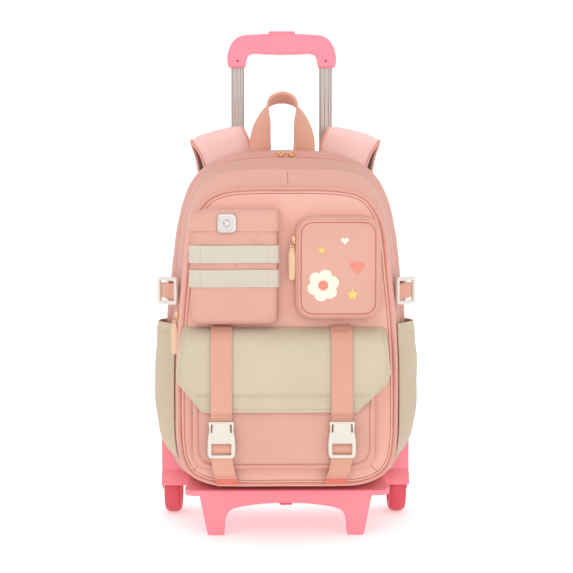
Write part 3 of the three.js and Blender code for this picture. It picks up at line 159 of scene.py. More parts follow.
def smooth_curve(points, closed=False, per=16):
    """A centripetal Catmull-Rom curve through points, as a dense polyline."""
    points = np.asarray(points, float)
    if closed:
        padded = np.vstack([points[-1:], points, points[:2]])
    else:
        padded = np.vstack([2 * points[0] - points[1], points, 2 * points[-1] - points[-2]])
    out = []
    for a, b, c, d in zip(padded[:-3], padded[1:-2], padded[2:-1], padded[3:]):
        steps = [max(np.linalg.norm(q - p), 1e-6) ** 0.5 for p, q in ((a, b), (b, c), (c, d))]
        t0, t1, t2, t3 = np.cumsum([0, *steps])
        t = np.linspace(t1, t2, per, endpoint=False)[:, None]
        ab = (t1 - t) / (t1 - t0) * a + (t - t0) / (t1 - t0) * b
        bc = (t2 - t) / (t2 - t1) * b + (t - t1) / (t2 - t1) * c
        cd = (t3 - t) / (t3 - t2) * c + (t - t2) / (t3 - t2) * d
        abc = (t2 - t) / (t2 - t0) * ab + (t - t0) / (t2 - t0) * bc
        bcd = (t3 - t) / (t3 - t1) * bc + (t - t1) / (t3 - t1) * cd
        out.append((t2 - t) / (t2 - t1) * abc + (t - t1) / (t2 - t1) * bcd)
    out.append(points[:1] if closed else points[-1:])
    return np.vstack(out)


def lengths_along(polyline):
    return np.concatenate([[0], np.cumsum(np.linalg.norm(np.diff(polyline, axis=0), axis=1))])


def along(polyline, share):
    """Points of a polyline at shares of its length."""
    run = lengths_along(polyline)
    share = np.clip(share, 0, 1) * run[-1]
    return np.stack([np.interp(share, run, polyline[:, k]) for k in range(polyline.shape[1])], axis=-1)


def read_table(rows, share):
    """A smooth reading of (share, value) rows."""
    rows = np.asarray(rows, float)
    dense = smooth_curve(rows, per=10)
    order = np.argsort(dense[:, 0], kind="stable")
    return np.interp(share, dense[order, 0], dense[order, 1])


class Loop:
    """A closed outline in the front plane, counted from its bottom centre, right side first."""

    def __init__(self, points, count=720):
        self.points = along(np.vstack([points, points[:1]]), np.arange(count) / count)
        self.refresh()

    def refresh(self):
        ahead = np.roll(self.points, -1, axis=0) - np.roll(self.points, 1, axis=0)
        ahead /= np.linalg.norm(ahead, axis=1)[:, None]
        self.out = np.stack([ahead[:, 1], -ahead[:, 0]], axis=-1)
        self.length = lengths_along(np.vstack([self.points, self.points[:1]]))[-1]

    def read(self, table, u):
        place = (np.asarray(u) % 1) * len(table)
        low = np.floor(place).astype(int) % len(table)
        part = (place - np.floor(place))[..., None]
        return table[low] * (1 - part) + table[(low + 1) % len(table)] * part

    def at(self, u):
        return self.read(self.points, u)

    def outward(self, u):
        return self.read(self.out, u)

    def moved(self, distance):
        other = Loop.__new__(Loop)
        other.points = self.points + self.out * distance
        other.refresh()
        return other

    def share_at(self, height, right=True):
        """The share of the loop at which it passes a height on one side."""
        half = len(self.points) // 2
        side = self.points[:half] if right else self.points[half:][::-1]
        order = np.argsort(side[:, 1], kind="stable")
        place = np.interp(height, side[order, 1], order)
        return place / len(self.points) if right else 1 - place / len(self.points)


def rows_loop(rows, width, bottom, height):
    rows = np.asarray(rows, float)
    right = np.stack([rows[:, 1] * width / 2, bottom + rows[:, 0] * height], axis=-1)
    left = right[1:-1][::-1] * [-1, 1]
    return Loop(smooth_curve(np.vstack([right, left]), closed=True)[:-1])


def corner_loop(corners):
    """An outline of (x, z, r) corners, counter-clockwise, each rounded by its radius."""
    points = []
    for i, (x, z, r) in enumerate(corners):
        here = np.array([x, z], float)
        before = np.array(corners[i - 1][:2], float)
        after = np.array(corners[(i + 1) % len(corners)][:2], float)
        enter = here + (before - here) / np.linalg.norm(before - here) * r
        leave = here + (after - here) / np.linalg.norm(after - here) * r
        for t in np.linspace(0, 1, 9):
            points.append((1 - t) ** 2 * enter + 2 * t * (1 - t) * here + t * t * leave)
    points = np.array(points)
    middle = (points[:, 0].min() + points[:, 0].max()) / 2
    start = np.argmin(np.abs(points[:, 0] - middle) + (points[:, 1] - points[:, 1].min()) * 10)
    return Loop(np.roll(points, -start, axis=0))


def rough(points, scale, seed=0.0):
    """Smooth noise from -1 to 1 at points in millimetres, scale in millimetres."""
    flat = np.asarray(points, float).reshape(-1, 3) / scale
    values = [noise.noise((x + seed, y - seed, z + seed * 2)) for x, y, z in flat]
    return np.array(values).reshape(np.asarray(points).shape[:-1])


# Making pieces

def pick_nothing():
    for thing in list(bpy.context.selected_objects):
        thing.select_set(False)
    bpy.context.view_layer.objects.active = None


def pick(*things):
    pick_nothing()
    for thing in things:
        thing.select_set(True)
    bpy.context.view_layer.objects.active = things[0]


def finish_modifiers(piece):
    pick(piece)
    for modifier in list(piece.modifiers):
        bpy.ops.object.modifier_apply(modifier=modifier.name)


def smooth(piece, degrees=35):
    pick(piece)
    bpy.ops.object.shade_smooth_by_angle(angle=math.radians(degrees))


def settle(piece):
    """Puts the piece's place into its mesh."""
    pick(piece)
    bpy.ops.object.transform_apply(location=True, rotation=True, scale=True)


def named(piece, name):
    piece.name = name
    piece.data.name = name
    return piece


def face_outwards(piece, fill_ends=False, merge=False):
    """Turns every face outwards, after its doubles are merged or its open ends filled."""
    pick(piece)
    bpy.ops.object.mode_set(mode="EDIT")
    bpy.ops.mesh.select_all(action="SELECT")
    if merge:
        bpy.ops.mesh.remove_doubles(threshold=1e-6)
    if fill_ends:
        bpy.ops.mesh.select_all(action="DESELECT")
        bpy.ops.mesh.select_mode(type="EDGE")
        bpy.ops.mesh.select_non_manifold(extend=False)
        bpy.ops.mesh.edge_face_add()
        bpy.ops.mesh.select_mode(type="VERT")
        bpy.ops.mesh.select_all(action="SELECT")
    bpy.ops.mesh.normals_make_consistent(inside=False)
    bpy.ops.object.mode_set(mode="OBJECT")


def extruded(name, points, move):
    """A solid from a flat outline in millimetres, pushed by millimetres along the frame's own axes."""
    pick_nothing()
    bpy.ops.mesh.primitive_circle_add(vertices=len(points), radius=1, fill_type="NGON")
    body = named(bpy.context.object, name)
    body.data.vertices.foreach_set("co", to_frame(points).ravel())
    body.data.update()
    bpy.ops.object.mode_set(mode="EDIT")
    bpy.ops.mesh.select_all(action="SELECT")
    bpy.ops.mesh.extrude_region_move(TRANSFORM_OT_translate={"value": [part * MM for part in move]})
    bpy.ops.mesh.select_all(action="SELECT")
    bpy.ops.mesh.normals_make_consistent(inside=False)
    bpy.ops.object.mode_set(mode="OBJECT")
    return body


def soften(body, width, segments=3, angle=None):
    """Rounds the edges of a piece, or only those that turn by more than an angle in degrees."""
    soft = body.modifiers.new("bevel", "BEVEL")
    soft.width = width * MM
    soft.segments = segments
    if angle is not None:
        soft.limit_method = "ANGLE"
        soft.angle_limit = math.radians(angle)
    finish_modifiers(body)


def barrel(name, radius, length, centre, turn, sides):
    """A cylinder about a point in millimetres, turned by an angle about each axis."""
    pick_nothing()
    bpy.ops.mesh.primitive_cylinder_add(vertices=sides, radius=radius * MM, depth=length * MM)
    piece = named(bpy.context.object, name)
    piece.rotation_euler = turn
    piece.location = to_frame(centre)
    settle(piece)
    return piece


def cloth_piece(name, columns, rows, place, flat, wall=1.2, ring=False, edge=0.0, weave_at=None):
    """A woven sheet from a grid: place(u, v) gives its points in millimetres, flat its size in millimetres.
    weave_at(u, v), where it is given, says where each point lies on the flat cloth."""
    pick_nothing()
    bpy.ops.mesh.primitive_grid_add(x_subdivisions=columns, y_subdivisions=rows, size=2)
    piece = named(bpy.context.object, name)
    mesh = piece.data
    flat_points = np.zeros(len(mesh.vertices) * 3)
    mesh.vertices.foreach_get("co", flat_points)
    flat_points = flat_points.reshape(-1, 3)
    u = (flat_points[:, 0] + 1) / 2
    v = (flat_points[:, 1] + 1) / 2
    mesh.vertices.foreach_set("co", to_frame(place(u, v)).ravel())
    weave = np.zeros(len(mesh.uv_layers[0].data) * 2)
    mesh.uv_layers[0].data.foreach_get("uv", weave)
    weave = weave.reshape(-1, 2) * [flat[0] * MM, flat[1] * MM]
    if weave_at is not None:
        corner = np.zeros(len(mesh.loops), int)
        mesh.loops.foreach_get("vertex_index", corner)
        weave = np.asarray(weave_at(u, v))[corner] * MM
    mesh.uv_layers[0].data.foreach_set("uv", weave.ravel())
    mesh.update()
    if ring:
        pick(piece)
        bpy.ops.object.mode_set(mode="EDIT")
        bpy.ops.mesh.select_all(action="SELECT")
        bpy.ops.mesh.remove_doubles(threshold=1e-6)
        bpy.ops.object.mode_set(mode="OBJECT")
    if wall:
        thick = piece.modifiers.new("wall", "SOLIDIFY")
        thick.thickness = wall * MM
        thick.offset = -1
        thick.use_even_offset = False
        if edge:
            soft = piece.modifiers.new("edge", "BEVEL")
            soft.width = edge * MM
            soft.segments = 2
            soft.limit_method = "ANGLE"
        finish_modifiers(piece)
    pick(piece)
    bpy.ops.object.shade_smooth()
    if wall:
        smooth(piece, 50)
    return piece


BEVEL_ANGLE = 50


def slab(name, outline, thickness, depth=0.0, bevel=0.0, segments=3, holes=()):
    """A plate drawn in the front plane, from depth + thickness back to depth, with holes and soft edges."""
    def plate(title, points, front, back):
        at_front = np.column_stack([points[:, 0], np.full(len(points), front), points[:, 1]])
        return extruded(title, at_front, (0, front - back, 0))

    body = plate(name, np.asarray(outline, float), depth + thickness, depth)
    for number, hole in enumerate(holes):
        cutter = plate(f"{name}_hole_{number}", np.asarray(hole, float), depth + thickness + 5, depth - 5)
        carve(body, cutter)
    if bevel:
        soften(body, bevel, segments, BEVEL_ANGLE)
    smooth(body, 40)
    return body


def carve(body, cutter):
    """Cuts the cutter out of the body, and removes the cutter."""
    cut = body.modifiers.new("carve", "BOOLEAN")
    cut.operation = "DIFFERENCE"
    cut.solver = "EXACT"
    cut.object = cutter
    finish_modifiers(body)
    bpy.data.objects.remove(cutter, do_unlink=True)


def block(name, left, right, back, front, bottom, top, bevel=0.0, segments=2):
    """A box between six sides, in millimetres."""
    pick_nothing()
    bpy.ops.mesh.primitive_cube_add(size=1)
    body = named(bpy.context.object, name)
    middle = to_frame([(left + right) / 2, (back + front) / 2, (bottom + top) / 2])
    body.location = middle
    body.scale = ((right - left) * MM, (front - back) * MM, (top - bottom) * MM)
    settle(body)
    if bevel:
        soften(body, bevel, segments)
        smooth(body, 40)
    return body


def rod(name, radius, points, sides=12):
    """A round cord or wire along points, closed at both ends, or a ring if the ends meet."""
    points = np.asarray(points, float)
    ring = np.linalg.norm(points[0] - points[-1]) < 1e-6
    tangent = np.gradient(points, axis=0)
    if ring:
        tangent[0] = tangent[-1] = points[1] - points[-2]
    tangent /= np.linalg.norm(tangent, axis=1)[:, None]
    start = np.array([0.0, 1.0, 0.0]) if abs(tangent[0][1]) < 0.9 else np.array([1.0, 0.0, 0.0])
    sideways = []
    side = start
    for direction in tangent:
        side = side - direction * np.dot(side, direction)
        side = side / np.linalg.norm(side)
        sideways.append(side)
    sideways = np.array(sideways)
    if ring:
        sideways[-1] = sideways[0]
    other = np.cross(tangent, sideways)
    share = lengths_along(points) / lengths_along(points)[-1]

    def place(u, v):
        middle = np.stack([np.interp(v, share, points[:, k]) for k in range(3)], axis=-1)
        a = np.stack([np.interp(v, share, sideways[:, k]) for k in range(3)], axis=-1)
        b = np.stack([np.interp(v, share, other[:, k]) for k in range(3)], axis=-1)
        turn = -u * 2 * math.pi
        return middle + radius * (a * np.cos(turn)[:, None] + b * np.sin(turn)[:, None])

    piece = cloth_piece(name, sides, len(points) - 1, place, (radius * 6.3, share[-1]), wall=0, ring=True)
    face_outwards(piece, fill_ends=not ring)
    return piece


def many_bits(name, places, directions, half_sizes, ups=None):
    """One mesh of many small rounded bits, each with its long way along its direction."""
    places = np.asarray(places, float)
    directions = np.asarray(directions, float)
    directions = directions / np.linalg.norm(directions, axis=1)[:, None]
    if ups is None:
        ups = np.tile([0.0, 1.0, 0.0], (len(places), 1))
    ups = ups - directions * np.sum(ups * directions, axis=1)[:, None]
    ups = ups / np.linalg.norm(ups, axis=1)[:, None]
    sides = np.cross(directions, ups)
    pick_nothing()
    bpy.ops.mesh.primitive_uv_sphere_add(segments=6, ring_count=4, radius=1)
    seed = bpy.context.object
    shape = np.array([v.co for v in seed.data.vertices])
    faces = [list(p.vertices) for p in seed.data.polygons]
    bpy.data.objects.remove(seed, do_unlink=True)
    long_half, wide_half, high_half = half_sizes
    points = (
        places[:, None, :]
        + shape[None, :, 2:3] * directions[:, None, :] * long_half
        + shape[None, :, 0:1] * sides[:, None, :] * wide_half
        + shape[None, :, 1:2] * ups[:, None, :] * high_half
    )
    mesh = bpy.data.meshes.new(name)
    count = len(shape)
    all_faces = [[i * count + corner for corner in face] for i in range(len(places)) for face in faces]
    mesh.from_pydata(to_frame(points.reshape(-1, 3)).tolist(), [], all_faces)
    piece = bpy.data.objects.new(name, mesh)
    bpy.context.scene.collection.objects.link(piece)
    face_outwards(piece)
    bpy.ops.object.shade_smooth()
    return piece


STITCH_STEP = 3.4
STITCH_LENGTH = 2.5
STITCH_RADIUS = 0.34


def stitch_line(points, step=STITCH_STEP):
    """Places and directions of the stitches along a line of points in millimetres."""
    points = np.asarray(points, float)
    total = lengths_along(points)[-1]
    count = max(int(total / step), 1)
    shares = (np.arange(count) + 0.5) / count
    near = 0.3 / max(total, 1)
    return along(points, shares), along(points, shares + near) - along(points, shares - near)


def sew(name, lines, body, look, slot_name, step=STITCH_STEP):
    """Stitches along several lines, as one piece."""
    found = [stitch_line(line, step) for line in lines]
    places = np.vstack([place for place, _ in found])
    directions = np.vstack([direction for _, direction in found])
    piece = many_bits(name, places, directions, (STITCH_LENGTH / 2, STITCH_RADIUS, STITCH_RADIUS))
    dress(piece, look, slot_name, body)
    return piece


def dress(piece, look, slot_name, body, *nodes):
    """Gives a piece its material, the body it rides on and the nodes it replaces; its finish name (slot_name)
    is not used.
    """
    piece.data.materials.clear()
    piece.data.materials.append(look)
    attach(piece, body)
    if nodes:
        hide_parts(*nodes)
    return piece


# Materials: colours are the finished sRGB values of each cloth and plastic; the shoulder and panel copies of
# the rose cloth are lightened as painted light, and the seam lines and grip screw discs are darkened as
# painted shade

def linear(colour):
    return tuple(((c / 255 + 0.055) / 1.055) ** 2.4 if c > 10 else c / 3295 for c in colour) + (1,)


def new_look(name, colour, roughness, metallic=0.0, specular=None, sheen=0.0, coat=0.0):
    look = bpy.data.materials.new(name)
    look.use_nodes = True
    shader = look.node_tree.nodes["Principled BSDF"]
    shader.inputs["Base Color"].default_value = linear(colour)
    shader.inputs["Roughness"].default_value = roughness
    shader.inputs["Metallic"].default_value = metallic
    if specular is not None:
        shader.inputs["Specular IOR Level"].default_value = specular
    if sheen:
        shader.inputs["Sheen Weight"].default_value = sheen
        shader.inputs["Sheen Roughness"].default_value = 0.5
    if coat:
        shader.inputs["Coat Weight"].default_value = coat
        shader.inputs["Coat Roughness"].default_value = 0.2
    return look


def add_node(look, kind, **values):
    node = look.node_tree.nodes.new(kind)
    for key, value in values.items():
        if hasattr(node, key):
            setattr(node, key, value)
        else:
            node.inputs[key.replace("_", " ")].default_value = value
    return node


def join_up(look, *pairs):
    for out, into in pairs:
        look.node_tree.links.new(out, into)


def shader_of(look):
    return look.node_tree.nodes["Principled BSDF"]


def add_mottle(look, colour, amount, scale):
    """Uneven dye: a soft noise between a little darker and a little lighter."""
    coords = add_node(look, "ShaderNodeTexCoord")
    cloud = add_node(look, "ShaderNodeTexNoise")
    cloud.inputs["Scale"].default_value = scale
    cloud.inputs["Detail"].default_value = 3
    ramp = add_node(look, "ShaderNodeValToRGB")
    darker = tuple(c * (1 - amount) for c in linear(colour)[:3]) + (1,)
    lighter = tuple(min(c * (1 + amount), 1) for c in linear(colour)[:3]) + (1,)
    ramp.color_ramp.elements[0].color = darker
    ramp.color_ramp.elements[0].position = 0.3
    ramp.color_ramp.elements[1].color = lighter
    ramp.color_ramp.elements[1].position = 0.7
    join_up(
        look,
        (coords.outputs["Object"], cloud.inputs["Vector"]),
        (cloud.outputs["Fac"], ramp.inputs["Fac"]),
        (ramp.outputs["Color"], shader_of(look).inputs["Base Color"]),
    )
    return ramp


def add_bump(look, height_socket, distance, strength=1.0):
    bump = add_node(look, "ShaderNodeBump")
    bump.inputs["Strength"].default_value = strength
    bump.inputs["Distance"].default_value = distance
    join_up(look, (height_socket, bump.inputs["Height"]),
        (bump.outputs["Normal"], shader_of(look).inputs["Normal"]))
    return bump


def add_weave(look, threads_across, threads_along, distance, tint=0.0):
    """Plain weave on the piece's own UV, which is in metres: two wave sets that pass over each other."""
    coords = add_node(look, "ShaderNodeTexCoord")
    split = add_node(look, "ShaderNodeSeparateXYZ")
    join_up(look, (coords.outputs["UV"], split.inputs[0]))
    waves = []
    for axis, threads in (("X", threads_across), ("Y", threads_along)):
        turn = add_node(look, "ShaderNodeMath", operation="MULTIPLY")
        turn.inputs[1].default_value = threads * 2 * math.pi
        wave = add_node(look, "ShaderNodeMath", operation="SINE")
        join_up(look, (split.outputs[axis], turn.inputs[0]), (turn.outputs[0], wave.inputs[0]))
        waves.append(wave)
    both = add_node(look, "ShaderNodeMath", operation="MULTIPLY")
    join_up(look, (waves[0].outputs[0], both.inputs[0]), (waves[1].outputs[0], both.inputs[1]))
    add_bump(look, both.outputs[0], distance)
    if tint:
        base = shader_of(look).inputs["Base Color"]
        before = base.links[0].from_socket if base.links else None
        mix = add_node(look, "ShaderNodeMix", data_type="RGBA", blend_type="MULTIPLY")
        shade = add_node(look, "ShaderNodeMapRange")
        shade.inputs["From Min"].default_value = -1
        shade.inputs["To Min"].default_value = 1 - tint
        mix.inputs[0].default_value = 1
        if before:
            join_up(look, (before, mix.inputs[6]))
        else:
            mix.inputs[6].default_value = base.default_value
        join_up(
            look,
            (both.outputs[0], shade.inputs["Value"]),
            (shade.outputs[0], mix.inputs[7]),
            (mix.outputs[2], base),
        )


def cloth_look(name, colour, roughness=0.62, mottle=0.035, threads=1500, bump=0.00006, sheen=0.12, tint=0.05):
    look = new_look(name, colour, roughness, specular=0.35, sheen=sheen)
    add_mottle(look, colour, mottle, 9)
    add_weave(look, threads, threads, bump, tint)
    return look


def webbing_look(name, colour, roughness=0.7, bump=0.00022, tint=0.16, across=420, ribs=650):
    look = new_look(name, colour, roughness, specular=0.3, sheen=0.2)
    add_mottle(look, colour, 0.04, 14)
    add_weave(look, across, ribs, bump, tint)
    return look


def plain_look(name, colour, roughness, **more):
    """Moulded plastic or metal with faint unevenness in its gloss."""
    look = new_look(name, colour, roughness, **more)
    coords = add_node(look, "ShaderNodeTexCoord")
    cloud = add_node(look, "ShaderNodeTexNoise")
    cloud.inputs["Scale"].default_value = 60
    gloss = add_node(look, "ShaderNodeMapRange")
    gloss.inputs["To Min"].default_value = max(roughness - 0.06, 0.02)
    gloss.inputs["To Max"].default_value = roughness + 0.08
    join_up(
        look,
        (coords.outputs["Object"], cloud.inputs["Vector"]),
        (cloud.outputs["Fac"], gloss.inputs["Value"]),
        (gloss.outputs[0], shader_of(look).inputs["Roughness"]),
    )
    add_bump(look, cloud.outputs["Fac"], 0.00004)
    return look


ROSE = cloth_look("rose_cloth", (220, 166, 150))
ROSE_WARM = cloth_look("rose_cloth_gusset", (213, 154, 140))
# A lighter copy of the rose cloth for the shoulder straps: painted light from above on their upturned cloth.
ROSE_SHOULDER_TOP_LIT = cloth_look("rose_cloth_shoulder_painted_light", (250, 205, 198))
# A lighter copy of the rose cloth for the front panel: painted light that brightens it where it lies in shade
# between the pockets.
ROSE_PANEL_LIGHTENED = cloth_look("rose_cloth_panel_painted_light", (237, 184, 168))
SAND = cloth_look("sand_cloth", (206, 192, 168), threads=1100, bump=0.00008, tint=0.08)
SAND_SIDE = cloth_look("sand_side_cloth", (203, 183, 157), threads=1100, bump=0.00008, tint=0.08)
ROSE_PIPING = cloth_look("rose_piping", (224, 160, 145), roughness=0.5, mottle=0.02)
LINING = cloth_look("rose_lining", (196, 128, 112), roughness=0.8)
MESH = webbing_look("strap_mesh", (122, 94, 88), roughness=0.85, bump=0.0005, tint=0.35, across=330, ribs=330)
BACK_MESH = webbing_look("back_mesh", (222, 176, 164), roughness=0.85, bump=0.0005, tint=0.3, across=300,
    ribs=300)
CORAL = webbing_look("coral_webbing", (230, 170, 147))
CORAL_DEEP = webbing_look("coral_webbing_deep", (232, 128, 106))
CREAM = webbing_look("cream_webbing", (222, 212, 196), tint=0.2)
ZIP_TAPE = webbing_look("zip_tape", (216, 148, 134), across=900, ribs=900, bump=0.0001)
ZIP_TEETH = plain_look("zip_teeth", (222, 158, 146), 0.42)
THREAD_CORAL = plain_look("coral_thread", (214, 130, 106), 0.7)
THREAD_SAND = plain_look("sand_thread", (200, 181, 150), 0.6)
THREAD_CREAM = plain_look("cream_thread", (205, 192, 172), 0.6)
GOLD = plain_look("gold_metal", (232, 190, 142), 0.24, metallic=1.0)
LEATHER = plain_look("pull_leather", (233, 196, 160), 0.5)
SILVER = plain_look("silver_metal", (196, 190, 188), 0.22, metallic=1.0)
PEARL = plain_look("pearl_enamel", (206, 198, 195), 0.2, coat=0.4)
IVORY = plain_look("ivory_plastic", (218, 211, 201), 0.34)
PINK = plain_look("pink_plastic", (246, 138, 150), 0.36)
PINK_GRIP = plain_look("pink_grip", (246, 132, 149), 0.3, coat=0.15)
RUBBER = plain_look("pink_rubber", (214, 82, 96), 0.55)
TUBE = plain_look("tube_metal", (184, 171, 165), 0.3, metallic=0.85)
STEEL = plain_look("axle_steel", (150, 146, 144), 0.3, metallic=1.0)
# Dark pink for the small discs on the grip: painted shade standing in for the recess of each screw dimple.
SCREW_DIMPLE_SHADE = plain_look("screw_dimple_painted_shade", (176, 74, 96), 0.5)


# The bag, from back to front: outer sizes are read from the CAD pieces, and the lines of the
# zips, the panel's edge and the cloth's thickness are given here.

CLOTH = 1.2
bag = span("main_gusset")
front = span("front_gusset")
panel = span("front_panel")

BAG_BOTTOM, BAG_TOP = bag["bottom"], bag["top"]
BAG_HEIGHT = BAG_TOP - BAG_BOTTOM
BAG_WIDTH = bag["right"] - bag["left"]
MAIN_BACK = bag["back"]
MAIN_FRONT = span("divider_panel")["front"] - 0.1
MAIN_ZIP = 64.0
ZIP_HALF = 4.0
FRONT_BACK = MAIN_FRONT + 0.2
FRONT_ZIP = 114.5
FRONT_ZIP_HALF = 2.5
PANEL_FACE = panel["front"]
PIPING = 2.6
PIPING_WAVE = 0.25

bag_rows = [
    (0, 0), (0, 0.5), (0.002, 0.66), (0.011, 0.8), (0.029, 0.885), (0.059, 0.94), (0.1, 0.974),
    (0.18, 0.993), (0.32, 1), (0.43, 0.998), (0.53, 0.99), (0.62, 0.96), (0.695, 0.938), (0.77, 0.908),
    (0.85, 0.853), (0.915, 0.768), (0.955, 0.65), (0.98, 0.5), (0.995, 0.3), (1, 0),
]
panel_rows = [
    (0, 0), (0, 0.45), (0.003, 0.64), (0.016, 0.78), (0.039, 0.89), (0.085, 0.966), (0.152, 0.995),
    (0.25, 1), (0.4, 0.995), (0.533, 0.975), (0.62, 0.955), (0.705, 0.93), (0.79, 0.908), (0.85, 0.885),
    (0.9, 0.85), (0.94, 0.79), (0.968, 0.72), (0.988, 0.6), (0.998, 0.4), (1, 0),
]
# How the wall draws in from the rear face to the front: a share of the way from the bag's
# outline to the front zip line, and how far the rim is rolled in.
main_rows = [(0, 0, 1), (0.06, 0, 0.35), (0.16, 0, 0), (0.34, 0.04, 0), (0.5, 0.26, 0), (0.72, 0.6, 0),
    (0.9, 0.86, 0), (1, 1, 0)]
front_rows = [(0, 0), (0.3, 0.1), (0.65, 0.45), (0.9, 0.86), (1, 1)]
RIM_TUCK = 4.0

ZIP_LINE_WIDTH = 296.0
ZIP_LINE_DROP = 26.0
ZIP_LINE_LIFT = 4.0
PANEL_WIDTH = 284.0
PANEL_DROP = 53.0
PANEL_LIFT = 11.0
FRONT_EDGE = 146.5
ZIP_END = 118.0
FRONT_ZIP_END = 282.0

bag_loop = rows_loop(bag_rows, BAG_WIDTH, BAG_BOTTOM, BAG_HEIGHT)
zip_loop = rows_loop(panel_rows, ZIP_LINE_WIDTH, BAG_BOTTOM + ZIP_LINE_LIFT,
    BAG_HEIGHT - ZIP_LINE_LIFT - ZIP_LINE_DROP)
panel_loop = rows_loop(panel_rows, PANEL_WIDTH, BAG_BOTTOM + PANEL_LIFT, BAG_HEIGHT - PANEL_LIFT - PANEL_DROP)


def mix(first, second, share):
    return first * (1 - share) + second * share


def main_point(u, depth, lift=0.0):
    """The bag's main wall at a share of its outline and a depth, lifted off it outwards."""
    along_wall = (depth - MAIN_BACK) / (MAIN_FRONT - MAIN_BACK)
    narrow = read_table([(a, n) for a, n, t in main_rows], along_wall)[..., None]
    tuck = read_table([(a, t) for a, n, t in main_rows], along_wall) * RIM_TUCK
    outline = mix(bag_loop.at(u), zip_loop.at(u), narrow)
    outline = outline + bag_loop.outward(u) * np.asarray(lift - tuck)[..., None]
    return np.column_stack([outline[:, 0], depth, outline[:, 1]])


def front_point(u, depth, lift=0.0):
    """The front compartment's wall between the front zip and the piping of the front panel."""
    share = (depth - FRONT_BACK) / (FRONT_EDGE - FRONT_BACK)
    narrow = read_table(front_rows, share)[..., None]
    outline = mix(zip_loop.at(u), panel_loop.at(u), narrow)
    outline = outline + zip_loop.outward(u) * np.asarray(lift)[..., None]
    return np.column_stack([outline[:, 0], depth, outline[:, 1]])


def puffed(s, height, power=0.55):
    """A band between two seams that swells in the middle."""
    return height * (4 * np.clip(s, 0, 1) * (1 - np.clip(s, 0, 1))) ** power


def puckers(u, s, length, height, step=9.0, reach=0.14):
    """Small gathers that run in from both seams of a band of that length."""
    near = np.exp(-s / reach) + np.exp(-(1 - s) / reach)
    turn = u * 2 * math.pi
    beat = np.sin(turn * round(length / step) + 2.1 * np.sin(turn * 6) + 1.3 * np.sin(turn * 15))
    return height * near * beat


def wall_band(name, surface, back, front_depth, swell, loop, columns=440, rows=22, first=0.0, last=1.0,
        seed=0.0, ripple=0.7):
    whole = last - first >= 1

    def place(u, v):
        share = first + (last - first) * u
        depth = back + (front_depth - back) * v
        lift = puffed(v, swell) - CLOTH * 0.3 + puckers(share, v, loop.length, 0.28)
        points = surface(share, depth, lift)
        free = np.minimum(1, 8 * v * (1 - v))
        lift = lift + ripple * rough(points, 46, seed) * free + 0.3 * rough(points, 15, seed + 5) * free
        return surface(share, depth, lift)

    flat = (loop.length * (last - first), front_depth - back)
    return cloth_piece(name, columns, rows, place, flat, CLOTH, ring=whole)


# Main wall in two bands with the main zip between them

main_back = wall_band("main_wall_rear", main_point, MAIN_BACK + 0.5, MAIN_ZIP - ZIP_HALF, 2.2, bag_loop,
    seed=1.0)
dress(main_back, ROSE_WARM, "rose_fabric", "chassis", "main_gusset")
main_fore = wall_band("main_wall_front", main_point, MAIN_ZIP + ZIP_HALF, MAIN_FRONT, 2.4, bag_loop, seed=2.0)
dress(main_fore, ROSE_WARM, "rose_fabric", "chassis")

zip_right = bag_loop.share_at(ZIP_END, right=True)
zip_left = bag_loop.share_at(ZIP_END, right=False)
low_strip = wall_band(
    "main_wall_lower", main_point, MAIN_ZIP - ZIP_HALF - 0.4, MAIN_ZIP + ZIP_HALF + 0.4, 0.9, bag_loop,
    columns=160, rows=6, first=zip_left - 1, last=zip_right, ripple=0.1)
dress(low_strip, ROSE_WARM, "rose_fabric", "chassis")


def zip_strip(name, surface, back, front_depth, first, last, loop, sunk):
    def place(u, v):
        share = first + (last - first) * u
        depth = back + (front_depth - back) * v
        return surface(share, depth, np.full(len(u), -sunk))

    piece = cloth_piece(name, 260, 3, place, (loop.length * (last - first), front_depth - back), 0.9)
    return dress(piece, ZIP_TAPE, "zip_tape", "chassis")


def zip_coil(name, surface, depth, first, last, sunk, radius):
    share = np.linspace(first, last, 260)
    points = surface(share, np.full(260, depth), np.full(260, -sunk))
    piece = rod(name, radius, points, sides=8)
    return dress(piece, ZIP_TEETH, "zip_tape", "chassis")


tape = zip_strip("main_zip_tape", main_point, MAIN_ZIP - ZIP_HALF - 1, MAIN_ZIP + ZIP_HALF + 1, zip_right,
    zip_left, bag_loop, 1.2)
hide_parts("main_zipper")
zip_coil("main_zip_coil", main_point, MAIN_ZIP, zip_right, zip_left, 0.6, 1.5)

# Front compartment: its wall, zip, piping and panel

front_right = zip_loop.share_at(FRONT_ZIP_END, right=True)
front_left = zip_loop.share_at(FRONT_ZIP_END, right=False)
front_band = wall_band("front_wall", front_point, FRONT_ZIP + FRONT_ZIP_HALF, FRONT_EDGE, 1.8, zip_loop,
    seed=3.0, ripple=0.6)
dress(front_band, ROSE, "rose_fabric", "chassis", "front_gusset")
front_low = wall_band(
    "front_wall_lower", front_point, FRONT_BACK - 0.3, FRONT_ZIP + FRONT_ZIP_HALF + 0.4, 0.8, zip_loop,
    columns=240, rows=6, first=front_left - 1, last=front_right, ripple=0.1)
dress(front_low, ROSE, "rose_fabric", "chassis")
front_tape = zip_strip("front_zip_tape", front_point, FRONT_BACK - 0.2, FRONT_ZIP + FRONT_ZIP_HALF + 1,
    front_right, front_left, zip_loop, 0.8)
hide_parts("front_zipper")
zip_coil("front_zip_coil", front_point, FRONT_ZIP, front_right, front_left, 0.4, 1.3)


def piping_ring(name, loop, depth, radius, *nodes):
    share = np.linspace(0, 1, 361)
    ring = loop.at(share)
    middle = np.column_stack([ring[:, 0], np.full(361, depth), ring[:, 1]])
    middle[:, 1] += PIPING_WAVE * np.sin(share * 2 * math.pi * 9) * np.sin(share * 2 * math.pi * 23)
    middle[-1] = middle[0]
    return dress(rod(name, radius, middle, sides=12), ROSE_PIPING, "rose_fabric", "chassis", *nodes)


piping_ring("front_panel_piping", panel_loop.moved(0.2), 148.6, PIPING, "front_piping")


